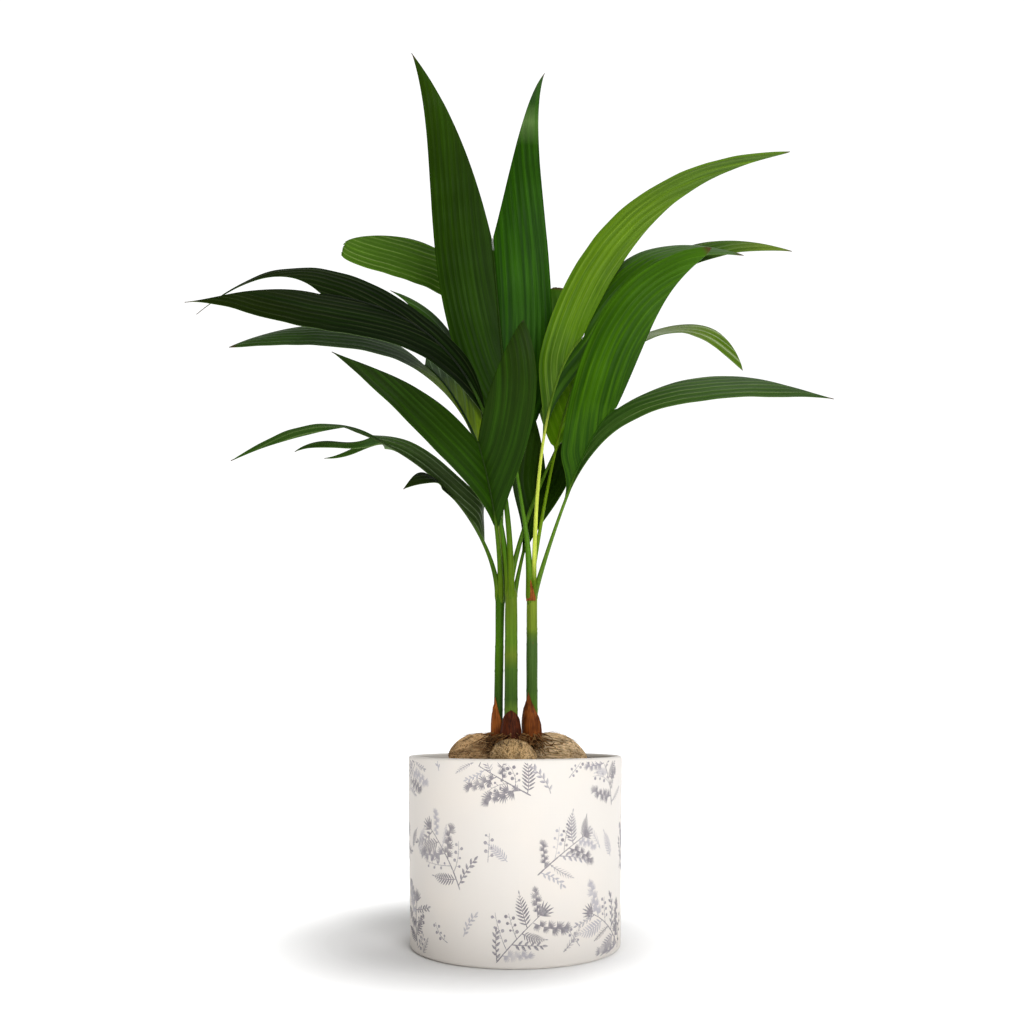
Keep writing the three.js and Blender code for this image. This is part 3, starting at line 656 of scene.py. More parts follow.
def stem_skin(name, bands):
    """Young palm stem, grown: smooth skin in bands that fallen leaf bases leave, with small brown spots."""
    material, tree, shader = new_material(f"stem_ringed_{name}", IOR=1.42, Specular_IOR_Level=0.12)
    place = add(tree, "ShaderNodeTexCoord", output="Object")
    height = add(tree, "ShaderNodeSeparateXYZ", (place,), output="Z")
    sway = add(tree, MAP, (grain(tree, place, 60.0, (1, 1, 0.3)), 0.2, 0.8, -3 * MM, 3 * MM), **EASED)
    swayed = add(tree, MATH, (height, sway), operation="ADD")
    colours = {**BROWN_FOOT, **bands}
    low = min(colours)
    stops = {(z - low) / (FORK_HEIGHT - low): colour for z, colour in colours.items()}
    banded = add(tree, RAMP, (add(tree, MAP, (swayed, low * MM, FORK_HEIGHT * MM)),), stops=stops)
    fibres = grain(tree, place, 1.0, (1 / (0.9 * MM), 1 / (0.9 * MM), 18))
    spots = grain(tree, place, 140.0, (1, 1, 0.5), detail=4.0)
    streaked = overlay(tree, banded, "1E3C0A", fibres, (0.35, 0.62), (0.35, 0))
    spotted = overlay(tree, streaked, "6E5A24", spots, (0.68, 0.76), (0, 0.5))
    rough = add(tree, MAP, (spots, 0.3, 0.7, 0.36, 0.5), **EASED)
    dress(tree, shader, spotted, fibres, 0.15, 0.5, rough)
    return material


def dry_scale(name, light, dark):
    """Dead palm leaf base, dried on the plant: thin, papery and fibrous, so dull with fine long ribs."""
    material, tree, shader = new_material(f"scale_papery_{name}", IOR=1.45, Specular_IOR_Level=0.15)
    place = add(tree, "ShaderNodeTexCoord", output="Object")
    fibres = grain(tree, place, 1.0, (1 / (0.9 * MM), 1 / (0.9 * MM), 45), detail=4.0)
    blotches = grain(tree, place, 130.0, (1, 1, 0.6), detail=4.0)
    base = add(tree, RAMP, (fibres,), stops={0.3: dark, 0.62: light})
    worn = overlay(tree, base, dark, blotches, (0.42, 0.7), (0, 0.6))
    rough = add(tree, MAP, (blotches, 0.3, 0.7, 0.48, 0.7), **EASED)
    relief = add(tree, MATH, (fibres, blotches), operation="ADD")
    dress(tree, shader, worn, relief, 0.5, 0.8, rough)
    return material


def husk(name, light, middle, dark):
    """Betel nut husk, dried: coarse straw-like fibres with dark gaps between their bundles, which are painted
    shade, dull all over.
    """
    constants = dict(Roughness=0.85, IOR=1.45, Specular_IOR_Level=0.25)
    material, tree, shader = new_material(f"husk_fibrous_{name}", **constants)
    place = add(tree, "ShaderNodeAttribute", output="Vector", attribute_name="husk")
    fibres = grain(tree, place, 1.0, (38, 1 / (0.9 * MM), 1 / (0.9 * MM)), detail=4.0, roughness=0.65)
    bundles = grain(tree, place, 1.0, (20, 170, 170))
    straw = grain(tree, place, 1.0, (30, 1 / (2.2 * MM), 1 / (2.2 * MM)), detail=2.0)
    dirt = grain(tree, place, 75.0, detail=4.0)
    base = add(tree, RAMP, (fibres,), stops={0.36: dark, 0.47: middle, 0.62: light})
    strawy = overlay(tree, base, light, straw, (0.5, 0.66), (0, 0.7))
    # Painted shade: the gaps between fibre bundles darken to the dark fibre colour.
    gaps = overlay(tree, strawy, dark, bundles, (0.34, 0.47), (0.85, 0))
    worn = overlay(tree, gaps, dark, dirt, (0.5, 0.72), (0, 0.45))
    strands = add(tree, MATH, (bundles, straw), operation="ADD")
    relief = add(tree, MATH, (fibres, 0.6, strands), operation="MULTIPLY_ADD")
    dress(tree, shader, worn, relief, 1.6, 1.0)
    return material


def compost():
    """Potting compost, mixed and damp: dark crumbs with a little paler bark, and almost no gloss."""
    material, tree, shader = new_material("compost_damp", Roughness=0.95, Specular_IOR_Level=0.2)
    place = add(tree, "ShaderNodeTexCoord", output="Object")
    crumbs = grain(tree, place, 340.0, detail=5.0, roughness=0.7)
    bark = grain(tree, place, 120.0, detail=2.0)
    base = add(tree, RAMP, (crumbs,), stops={0.3: "15100C", 0.55: "33261A", 0.75: "594430"})
    flecked = overlay(tree, base, "6B4C2E", bark, (0.62, 0.7), (0, 0.5))
    dress(tree, shader, flecked, crumbs, 1.5, 0.9)
    return material


def glazed_ceramic(glaze):
    """Stoneware under a thin satin glaze, pressed with linen: fine crossed threads in a soft sheen."""
    material, tree, shader = new_material("stoneware_linen_glaze", IOR=1.5, Specular_IOR_Level=0.2)
    uv = add(tree, "ShaderNodeUVMap", uv_map="wall")
    place = add(tree, "ShaderNodeTexCoord", output="Object")
    # Threads stand 1.1 mm apart, about twice as coarse as the real ones, so that they show.
    weft = grain(tree, uv, 1.0, (22, 1 / (1.1 * MM), 1), detail=2.0)
    warp = grain(tree, uv, 1.0, (1 / (1.1 * MM), 22, 1), detail=2.0)
    clouds = grain(tree, place, 14.0, detail=2.0)
    threads = add(tree, MATH, (weft, warp), operation="ADD")
    toned = overlay(tree, (*glaze, 1.0), "E6E1DA", threads, (0.8, 1.25), (0.3, 0))
    warmer = overlay(tree, toned, "EFE5DA", clouds, (0.45, 0.75), (0, 0.3))
    rough = add(tree, MAP, (threads, 0.7, 1.3, 0.55, 0.42), **EASED)
    dress(tree, shader, warmer, threads, 0.12, 0.35, rough)
    return material


def print_ink(name, ink, paper):
    """Ceramic print, fired on: ink in fine slanted lines as on an old engraving, with glaze between them."""
    constants = dict(Roughness=0.5, IOR=1.5, Specular_IOR_Level=0.4)
    material, tree, shader = new_material(f"print_engraved_{name}", **constants)
    uv = add(tree, "ShaderNodeUVMap", uv_map="wall")
    across = add(tree, "ShaderNodeSeparateXYZ", (uv,), output="X")
    upward = add(tree, "ShaderNodeSeparateXYZ", (uv,), output="Y")
    slant = add(tree, MATH, (upward, 0.55, across), operation="MULTIPLY_ADD")
    # Lines stand 1 mm apart, coarser than an engraver's, so that they show.
    lined = add(tree, MATH, (slant, 1 / (1.0 * MM)), operation="MULTIPLY")
    lines = add(tree, MAP, (add(tree, MATH, (lined, 0.5), operation="PINGPONG"), 0.18, 0.42), **EASED)
    worn = grain(tree, uv, 1.0, (420, 420, 1), detail=4.0, roughness=0.7)
    wear = add(tree, MAP, (worn, 0.35, 0.65, 0.252, 0.72), **EASED)
    gaps = add(tree, MATH, (lines, wear), operation="MULTIPLY")
    faded = add(tree, MAP, (grain(tree, uv, 1.0, (60, 60, 1), detail=2.0), 0.5, 0.75, 0.0, 0.6), **EASED)
    bare = add(tree, MATH, (gaps, faded), operation="MAXIMUM")
    colour = add(tree, MIX, {0: bare, 6: (*ink, 1.0), 7: (*paper, 1.0)}, **MIXED)
    wire(tree, shader, {"Base Color": colour})
    return material


# Pieces


def wall_uv(bm, radius):
    """Lays a map of arc length and height, in metres, over a bmesh round the pot."""
    layer = bm.loops.layers.uv.verify()
    for face in bm.faces:
        middle = face.calc_center_median()
        centre = math.atan2(middle.y, middle.x)
        for loop in face.loops:
            co = loop.vert.co
            turn = math.atan2(co.y, co.x) - centre
            turn -= FULL_TURN * round(turn / FULL_TURN)
            if co.xy.length < TINY:
                turn = 0.0
            loop[layer].uv = ((centre + turn) * radius, co.z + co.xy.length)


def rounding(centre_radius, centre_height, radius, start, end, steps=8):
    """An arc of the pot's section, as radius and height."""
    arc = []
    for i in range(steps + 1):
        turn = math.radians(start + (end - start) * i / steps)
        arc.append((centre_radius + radius * math.cos(turn), centre_height + radius * math.sin(turn)))
    return arc


def pot_outline(sizes):
    """Half of the pot's section, from the middle of its underside round to the middle of its floor."""
    rim, foot = sizes.rim_round, sizes.foot_round
    slope = (sizes.rim_radius - sizes.foot_radius) / sizes.height
    inner_floor = sizes.foot_radius + slope * sizes.floor - sizes.wall
    outline = [(0.0, 0.0)]
    outline += rounding(sizes.foot_radius - foot, foot, foot, -90, 0)
    outline += rounding(sizes.rim_radius - rim, sizes.height - rim, rim, 0, 90)
    outline += rounding(sizes.rim_radius - sizes.wall + rim, sizes.height - rim, rim, 90, 180)
    outline += rounding(inner_floor - foot, sizes.floor + foot, foot, 0, -90)
    return outline + [(0.0, sizes.floor)]


class PALM_OT_pot(bpy.types.Operator):
    """Build the straight ceramic pot"""

    bl_idname = "palm.pot"
    bl_label = "Pot"

    def execute(self, context):
        sizes = context.scene.palm_pot
        bm = bmesh.new()
        outline = [bm.verts.new((radius, 0, height)) for radius, height in pot_outline(sizes)]
        edges = [bm.edges.new(pair) for pair in zip(outline, outline[1:])]
        turned = dict(axis=(0, 0, 1), cent=(0, 0, 0), angle=FULL_TURN, steps=POT_STEPS, use_merge=True)
        bmesh.ops.spin(bm, geom=outline + edges, **turned)
        bmesh.ops.remove_doubles(bm, verts=bm.verts, dist=TINY)
        bmesh.ops.recalc_face_normals(bm, faces=bm.faces)
        bm.loops.layers.uv.new("wall")
        wall_uv(bm, sizes.rim_radius)
        piece = finish_piece(bm, "pot_ceramic", [glazed_ceramic(sizes.glaze)], ["pot"])
        piece.data.set_sharp_from_angle(angle=math.radians(60))
        return {"FINISHED"}


# Half widths of what is printed, along its length.
def leaf_outline(along, fat):
    return fat * math.sin(math.pi * along**0.8) ** 0.8


def berry_outline(along, fat):
    return fat * math.sqrt(max(0, 1 - (2 * along - 1) ** 2))


def twig_outline(along, fat):
    return fat * min(1.0, 6 * along + 0.4, 6 * (1 - along) + 0.4)


def between(joints, share):
    """The place and angle at a share of a twig's length."""
    spot = share * (len(joints) - 1)
    first = min(len(joints) - 2, int(spot))
    (a, turn_a), (b, turn_b) = joints[first], joints[first + 1]
    return a + (b - a) * (spot - first), turn_a + (turn_b - turn_a) * (spot - first)


def by_turns(joints, count, first, spacing):
    """The place, angle and side of each leaf that stands by turns on one side of a twig and the other."""
    for i in range(count):
        yield (*between(joints, (i + first) / spacing), 1 if i % 2 else -1)


class Sprigs:
    """Draws flat leaves, berries and twigs on the pot's wall. A place is a complex number: arc and height."""

    def __init__(self, rng):
        self.bm = bmesh.new()
        self.rng = rng
        self.layer = self.bm.loops.layers.uv.new("wall")

    def lay(self, start, angle, reach, fat, tone, outline=leaf_outline, sides=(1.0, 1.0)):
        """Adds one flat shape of that outline, from a start along an angle."""
        made = bmesh.ops.create_circle(self.bm, cap_ends=True, segments=SPRIG_STEPS, radius=1.0)["verts"]
        for vert in made:
            along = (vert.co.x + 1) / 2
            side = sides[0] if vert.co.y > TINY else -sides[1] if vert.co.y < -TINY else 0
            spot = start + cmath.rect(1, angle) * complex(along * reach, outline(along, fat) * side)
            vert.co = (spot.real, spot.imag, 0)
        for face in {face for vert in made for face in vert.link_faces}:
            face.material_index = tone

    def leaf(self, start, angle, reach, fat, tone):
        """A leaf with one half in a paler tone, as an engraver shades it."""
        self.lay(start, angle, reach, fat, tone, sides=(1.0, 0.06))
        self.lay(start, angle, reach, fat, min(2, tone + 1), sides=(-0.12, 1.0))

    def twig(self, place, angle, reach, bend, tone, thick=0.35):
        """A bent stalk in short lengths. Returns the place and angle at each joint."""
        steps = 7
        span = reach / steps
        joints = []
        for i in range(steps):
            here = angle + bend * (i / (steps - 1) - 0.5)
            joints.append((place, here))
            self.lay(place, here, span * 1.15, thick * MM * (1.1 - 0.6 * i / steps), tone, twig_outline)
            place += cmath.rect(span, here)
        return joints + [(place, angle + bend / 2)]

    def fern(self, start, angle, reach, tone):
        """A feathered frond: narrow leaflets in pairs that shorten to the tip."""
        joints = self.twig(start, angle, reach, self.rng.uniform(-0.5, 0.5), tone)
        pairs = 9
        for i in range(pairs):
            share = (i + 1) / (pairs + 1)
            place, here = between(joints, share)
            size = reach * 0.27 * math.sin(math.pi * min(1, share * 0.75 + 0.22))
            for side in (1, -1):
                self.lay(place, here + side * (1.0 - 0.35 * share), size, size * 0.11, tone)
        self.leaf(*joints[-1], reach * 0.12, reach * 0.02, tone)

    def spray(self, start, angle, reach, tone):
        """A leafy twig: broad leaves by turns on each side."""
        joints = self.twig(start, angle, reach, self.rng.uniform(-0.7, 0.7), tone)
        for place, here, side in by_turns(joints, 9, 1.2, 10):
            size = reach * self.rng.uniform(0.17, 0.23)
            self.leaf(place, here + side * self.rng.uniform(0.6, 0.9), size, size * 0.2, tone)
        self.leaf(*joints[-1], reach * 0.2, reach * 0.04, tone)

    def berries(self, start, angle, reach, tone):
        """A thin twig with round berries on short stalks."""
        joints = self.twig(start, angle, reach, self.rng.uniform(-0.9, 0.9), tone, thick=0.25)
        for place, here, side in by_turns(joints, 6, 1.5, 7.5):
            out = here + side * 1.1
            span = self.rng.uniform(2.0, 3.6) * MM
            radius = self.rng.uniform(0.9, 1.5) * MM
            self.leaf(place, out, span, 0.2 * MM, tone)
            self.lay(place + cmath.rect(span, out) - radius, 0, 2 * radius, radius, tone, berry_outline)

    def tuft(self, start, angle, reach, tone):
        """A tuft of needles that fans out from one point."""
        for i in range(7):
            turn = (i / 6 - 0.5) * 1.7
            span = reach * (1 - 0.25 * abs(turn)) * self.rng.uniform(0.8, 1.0)
            self.lay(start, angle + turn, span, span * 0.07, tone)

    def bush(self, start, angle, reach, tone):
        """A twig thick with short tufts of needles by turns on each side."""
        joints = self.twig(start, angle, reach, self.rng.uniform(-0.6, 0.6), tone)
        for place, here, side in by_turns(joints, 7, 0.8, 7.6):
            out = here + side * self.rng.uniform(0.5, 0.9)
            self.tuft(place, out, reach * self.rng.uniform(0.24, 0.36), tone)
        self.tuft(*joints[-1], reach * 0.3, tone)

    def broad_leaf(self, start, angle, reach, tone):
        """One broad leaf drawn by its middle rib and the side veins that branch from it."""
        joints = self.twig(start, angle, reach, 0.3, tone, thick=0.3)
        veins = 9
        for i in range(veins):
            share = (i + 0.6) / veins
            place, here = between(joints, share)
            for side in (1, -1):
                self.lay(place, here + side * 0.7, leaf_outline(share, reach * 0.2), reach * 0.009, tone)

    def bouquet(self, middle, angle, reach):
        """A bent branch that carries ferns, needles, leaves and berries in a loose bunch."""
        start = middle - cmath.rect(reach / 2, angle)
        joints = self.twig(start, angle, reach, self.rng.uniform(-0.9, 0.9), 0, thick=0.5)
        kinds = [self.bush, self.fern, self.spray, self.berries, self.broad_leaf]
        kinds += [self.bush, self.spray, self.berries, self.bush, self.fern]
        self.rng.shuffle(kinds)
        for kind, (place, here, side) in zip(kinds, by_turns(joints, len(kinds), 0.6, 10)):
            out = here + side * self.rng.uniform(0.7, 1.2)
            kind(place, out, reach * self.rng.uniform(0.32, 0.52), self.rng.choice((0, 0, 0, 1, 1, 2)))
        self.tuft(*joints[-1], reach * 0.24, 0)

    def fix(self, name, sizes, inks, low, inside=False):
        """Leaves out what would run over the pot's edges, and bends the rest round the wall as a piece."""
        high = sizes.height - sizes.rim_round - 0.1 * MM
        over = [face for face in self.bm.faces if not all(low < vert.co.y < high for vert in face.verts)]
        bmesh.ops.delete(self.bm, geom=over, context="FACES")
        raised_part = bmesh.ops.extrude_face_region(self.bm, geom=list(self.bm.faces))["geom"]
        lifted = {item for item in raised_part if isinstance(item, bmesh.types.BMVert)}
        for face in self.bm.faces:
            for loop in face.loops:
                loop[self.layer].uv = loop.vert.co.xy
        slope = (sizes.rim_radius - sizes.foot_radius) / sizes.height
        for vert in self.bm.verts:
            wall = sizes.foot_radius + slope * vert.co.y
            lift = sizes.print_lift if vert in lifted else -sizes.print_lift
            radius = wall - sizes.wall - lift if inside else wall + lift
            vert.co = round_point(vert.co.x / sizes.rim_radius) * radius + raised(vert.co.y)
        bmesh.ops.recalc_face_normals(self.bm, faces=self.bm.faces)
        finish_piece(self.bm, name, inks, smooth=False)


class PALM_OT_print(bpy.types.Operator):
    """Lay a generic print of sprigs on the pot's wall"""

    bl_idname = "palm.print"
    bl_label = "Print"

    def execute(self, context):
        sizes = context.scene.palm_pot
        tones = {"dark": sizes.ink_dark, "middle": sizes.ink_middle, "pale": sizes.ink_pale}
        inks = [print_ink(name, ink, sizes.glaze) for name, ink in tones.items()]
        around = FULL_TURN * sizes.rim_radius
        for row, level in enumerate(PRINT_ROWS):
            for column in range(PRINT_COLUMNS):
                rng = random.Random(31 * column + 7 * row)
                sprigs = Sprigs(rng)
                arc = (column + 0.42 + 0.5 * row + rng.uniform(-0.08, 0.08)) / PRINT_COLUMNS * around
                middle = complex(arc, sizes.height * (level + rng.uniform(-0.04, 0.04)))
                sprigs.bouquet(middle, rng.uniform(0.4, 2.7), rng.uniform(*BOUQUET_SIZES) * MM)
                for drift in STRAY_DRIFTS:
                    stray = rng.choice((sprigs.berries, sprigs.spray, sprigs.fern, sprigs.broad_leaf))
                    start = middle + 0.5 * around / PRINT_COLUMNS + complex(drift, rng.uniform(-16, 10)) * MM
                    stray(start, rng.uniform(0.6, 2.5), rng.uniform(*STRAY_SIZES) * MM, rng.choice((1, 2)))
                sprigs.fix(f"pot_print_{row}_{column}", sizes, inks, sizes.foot_round + 0.1 * MM)
        inner = Sprigs(random.Random(5))
        for column in range(INNER_SPRAYS):
            start = complex((column + 0.3) / INNER_SPRAYS * around, sizes.height - 9 * MM)
            inner.spray(start, inner.rng.uniform(-0.6, 0.6), INNER_SPRAY_SIZE * MM, column % 2)
        inner.fix("pot_print_inside", sizes, inks, sizes.height - 16 * MM, inside=True)
        return {"FINISHED"}


class PALM_OT_compost(bpy.types.Operator):
    """Fill the pot with crumbly compost"""

    bl_idname = "palm.compost"
    bl_label = "Compost"

    def execute(self, context):
        sizes = context.scene.palm_pot
        ground = context.scene.palm_ground
        reach = sizes.rim_radius - sizes.wall - 1.0 * MM
        rng = random.Random(11)
        bm = bmesh.new()

        def surface(u, v):
            spot = round_point(v * FULL_TURN) * (reach * (1 - u))
            bumps = noise.fractal(spot * 160, 0.9, 2.0, 4)
            return spot + raised(ground.top - COMPOST_DIP + bumps * COMPOST_BUMP)

        draped_sheet(bm, *COMPOST_MESH, surface, closed=True)
        hub = [vert for vert in bm.verts if vert.co.xy.length < TINY]
        bmesh.ops.remove_doubles(bm, verts=hub, dist=1e-3)
        rim = [edge for edge in bm.edges if edge.is_boundary]
        for item in bmesh.ops.extrude_edge_only(bm, edges=rim)["geom"]:
            if isinstance(item, bmesh.types.BMVert):
                item.co.z = ground.top - COMPOST_DEPTH
        close_ends(bm)
        for _ in range(ground.crumbs):
            radius = reach * math.sqrt(rng.random()) * 0.97
            spot = round_point(rng.random() * FULL_TURN) * radius
            size = ground.crumb * rng.uniform(0.3, 0.9)
            place = Matrix.Translation(spot + raised(ground.top - 2.0 * MM + size * 0.4))
            turn = Matrix.Rotation(rng.random() * FULL_TURN, 4, Vector((rng.random(), rng.random(), 1)))
            shape = Matrix.Diagonal((size * rng.uniform(0.6, 1.6), size, size * rng.uniform(0.5, 0.9), 1))
            bmesh.ops.create_icosphere(bm, subdivisions=1, radius=1.0, matrix=place @ turn @ shape)
        finish_piece(bm, "compost_surface", [compost()], ["soil"])
        return {"FINISHED"}


def nut_surface(row, x, y, z):
    """A point of a nut's husk from a direction in its own frame: a blunt egg with long ridges and hollows."""
    taper = 1 - 0.16 * x - 0.1 * max(0.0, x) ** 3
    half_length, half_width, half_height = row["half"]
    place = Vector((x * half_length, y * half_width * taper, z * half_height * taper))
    angle = math.atan2(z, y)
    spot_x, spot_y = row["spot"]
    long_way = Vector((x * 1.1, math.cos(angle) * 2.4, math.sin(angle) * 2.4)) + Vector((spot_x, spot_y, 0))
    fine_way = Vector((x * 1.6, math.cos(angle) * 9.0, math.sin(angle) * 9.0)) + Vector((spot_y, spot_x, 3))
    lumps = noise.noise(long_way) * 0.09
    ridges = (0.5 - abs(noise.noise(fine_way))) * 0.06 * (1 - 0.6 * x * x)
    return place * (1 + lumps + ridges)


def nut_frame(row, ground):
    """The matrix that lays a nut on the compost."""
    place = Matrix.Translation((*row["spot"], ground / MM + row["half"][2] - NUT_SUNK))
    turn = Matrix.Rotation(math.radians(row["heading"]), 4, "Z")
    dip = Matrix.Rotation(math.radians(row["dip"]), 4, "Y")
    return Matrix.Scale(MM, 4) @ place @ turn @ dip


def strand(bm, around, place, grain_place, shade=Vector()):
    """A thin closed thread, and the place in the husk's pattern that its points take."""
    for vert in draped_sheet(bm, STRAND_STEPS, around, place, closed=True):
        if vert.is_valid:
            vert[grain_place] = shade + vert.co


def root(bm, foot, rng, grain_place):
    """A short brown root that springs from a stem's foot and lies over the nuts."""
    heading = rng.uniform(0, 360)
    inner = rng.uniform(5, 8)
    reach = rng.uniform(6, 24)
    low, high = rng.uniform(14, 30), rng.uniform(22, 36)
    thick = rng.uniform(0.35, 0.95)
    bend = rng.uniform(-40, 40)

    def place(u, v):
        out = headed(heading + bend * u) * (inner + reach * u)
        middle = foot + out + raised(high + (low - high) * u * u)
        ring = headed(heading + 90) * math.cos(v * FULL_TURN) + raised(math.sin(v * FULL_TURN))
        return (middle + ring * thick * (1 - 0.6 * u)) * MM

    strand(bm, 4, place, grain_place)


def fibre(bm, row, laid, rng, grain_place):
    """One loose fibre of the husk: a bent thread that lies along the nut and lifts off at its end."""
    start = rng.uniform(-0.9, 0.35)
    reach = rng.uniform(0.25, 0.6)
    angle = rng.uniform(-0.25, 1.25) * math.pi
    drift = rng.uniform(-0.35, 0.35)
    lift = rng.uniform(0.4, 2.2)
    thick = rng.uniform(0.12, 0.28)
    shade = Vector((rng.uniform(0, 0.5), rng.uniform(0, 0.02), 0))

    def place(u, v):
        x = min(0.93, start + reach * u)
        turn = angle + drift * u
        side = math.sqrt(max(0.0, 1 - x * x))
        point = nut_surface(row, x, side * math.cos(turn), side * math.sin(turn))
        out = Vector((0, math.cos(turn), math.sin(turn)))
        around = Vector((0, -math.sin(turn), math.cos(turn)))
        wave = math.sin(u * 7 + angle * 5) * 0.5
        way = out * math.cos(v * FULL_TURN) + around * math.sin(v * FULL_TURN)
        return laid @ (point + out * (lift * u * u + 0.15) + around * wave + way * (thick * (1 - 0.7 * u)))

    strand(bm, 3, place, grain_place, shade)


class PALM_OT_nuts(bpy.types.Operator):
    """Lay the three fibrous nuts on the compost, under the stems' brown roots"""

    bl_idname = "palm.nuts"
    bl_label = "Nuts"

    def execute(self, context):
        ground = context.scene.palm_ground
        for index, (name, row) in enumerate(NUTS.items()):
            bm = bmesh.new()
            bmesh.ops.create_uvsphere(bm, u_segments=NUT_MESH[0], v_segments=NUT_MESH[1], radius=1.0)
            grain_place = bm.verts.layers.float_vector.new("husk")
            laid = nut_frame(row, ground.top)
            for vert in bm.verts:
                # The sphere's poles become the nut's two ends.
                local = nut_surface(row, vert.co.z, vert.co.x, vert.co.y)
                vert[grain_place] = local * MM
                vert.co = laid @ local
            rng = random.Random(20 + index)
            for _ in range(ground.fibres):
                fibre(bm, row, laid, rng, grain_place)
            bmesh.ops.recalc_face_normals(bm, faces=bm.faces)
            finish_piece(bm, f"husk_{name}", [husk(name, *row["husk"])], [f"nut_{name}"])
        rng = random.Random(3)
        bm = bmesh.new()
        grain_place = bm.verts.layers.float_vector.new("husk")
        for stem in STEMS.values():
            for _ in range(ROOTS):
                root(bm, Vector((*stem["foot"], GROUND)), rng, grain_place)
        bmesh.ops.recalc_face_normals(bm, faces=bm.faces)
        finish_piece(bm, "roots_brown", [husk("roots", *ROOT_HUSK)])
        return {"FINISHED"}


class PALM_OT_stems(bpy.types.Operator):
    """Build the three ringed stems"""

    bl_idname = "palm.stems"
    bl_label = "Stems"

    def execute(self, context):
        for name, stem in STEMS.items():
            bm = bmesh.new()
            rings = list(stem["bands"])[1:-1]

            def place(u, v):
                over = max(0.0, u - STEM_SHARE) / (1 - STEM_SHARE)
                middle, radius = stem_at(stem, min(1.0, u / STEM_SHARE))
                middle += raised(DOME * over - STEM_SUNK * (u == 0))
                scar = sum(math.exp(-(((middle.z - ring) / RING_REACH) ** 2)) for ring in rings)
                step = sum(RING_STEP for ring in rings if middle.z < ring)
                wobble = noise.noise(round_point(v * FULL_TURN) + raised(middle.z * 0.05))
                radius += RING_SWELL * scar + 0.12 * wobble - 0.1 + step
                radius *= math.sqrt(1 - 0.9 * over * over)
                return (middle + headed(v * 360) * radius) * MM

            draped_sheet(bm, *STEM_MESH, place, closed=True)
            close_ends(bm)
            finish_piece(bm, f"stem_skin_{name}", [stem_skin(name, stem["bands"])], [f"stem_{name}"])
        return {"FINISHED"}


class PALM_OT_scales(bpy.types.Operator):
    """Wrap the stems in their dry scales"""

    bl_idname = "palm.scales"
    bl_label = "Dry scales"

    def execute(self, context):
        skins = {name: dry_scale(name, *colours) for name, colours in DRY_COLOURS.items()}
        for name, row in SCALES.items():
            stem = STEMS[row["stem"]]
            bm = bmesh.new()

            def place(u, v):
                height = row["start"] + row["height"] * u
                middle, radius = stem_at(stem, (height - GROUND) / (FORK_HEIGHT - GROUND))
                edge = 2 * v - 1
                angle = row["faces"] + edge * max(3.0, row["spread"] * (1 - u ** row["point"]))
                swell = max(0.0, row["bulge"] * math.sin(math.pi * min(1, u + 0.15)))
                crinkle = noise.noise(Vector((angle * 0.06, u * 3, row["start"]))) * 0.35
                rib = math.sin(angle * 0.35) * 0.12
                curl = 0.32 * abs(edge) ** 3 * (1 - u)
                return (middle + headed(angle) * (radius + SCALE_GAP + swell + rib + crinkle + curl)) * MM

            draped_sheet(bm, *SCALE_MESH, place)
            bmesh.ops.recalc_face_normals(bm, faces=bm.faces)
            piece = finish_piece(bm, f"dry_{name}", [skins[row["dry"]]], [name])
            thicken(piece, SCALE_THICKNESS * MM)
        return {"FINISHED"}


def above_stem(share):
    """A share of a stalk's mesh as a share of its way up from its slot, because the mesh starts deeper."""
    return max(0.0, (share - SUNK_SHARE) / (1 - SUNK_SHARE))


class PALM_OT_stalks(bpy.types.Operator):
    """Raise the stalk of every frond"""

    bl_idname = "palm.stalks"
    bl_label = "Stalks"

    def execute(self, context):
        for name, frond in FRONDS.items():
            controls = stalk_controls(frond)
            stand = headed(frond["slot"]) * STEMS[frond["stem"]]["ring"] * 0.95 + raised(SUNK_DEPTH)
            bm = bmesh.new()
            way = bm.verts.layers.float.new("share")

            def place(u, v):
                sunk = max(0.0, 1 - u / SUNK_SHARE)
                share = above_stem(u)
                middle = cubic(controls, share) - stand * sunk
                along = cubic(controls, min(1.0, share + 0.01)) - cubic(controls, max(0.0, share - 0.01))
                along = along.normalized() if share else raised(1)
                side = headed(frond["fork"][0] + 90)
                side = (side - along * side.dot(along)).normalized()
                up = along.cross(side)
                flare = frond["girth"] * max(0.0, 1 - share / 0.5) ** 1.5
                radius = (stalk_radius(frond, share) * (1.2 - 0.2 * share) + flare) * (1 - 0.4 * sunk)
                if share > STALK_TIP:
                    radius *= max(0.35, (1 - share) / (1 - STALK_TIP))
                turn = v * FULL_TURN
                radius *= 1 - CHANNEL * max(0.0, -math.sin(turn)) ** 6
                return (middle + (side * math.cos(turn) + up * math.sin(turn)) * radius) * MM

            shares = draped_sheet(bm, *STALK_MESH, place, closed=True)
            for vert, (u, _) in shares.items():
                if vert.is_valid:
                    vert[way] = above_stem(u)
            close_ends(bm)
            finish_piece(bm, f"rachis_{name}", [stalk_skin(name, frond)], [f"stalk_{name}"])
        return {"FINISHED"}


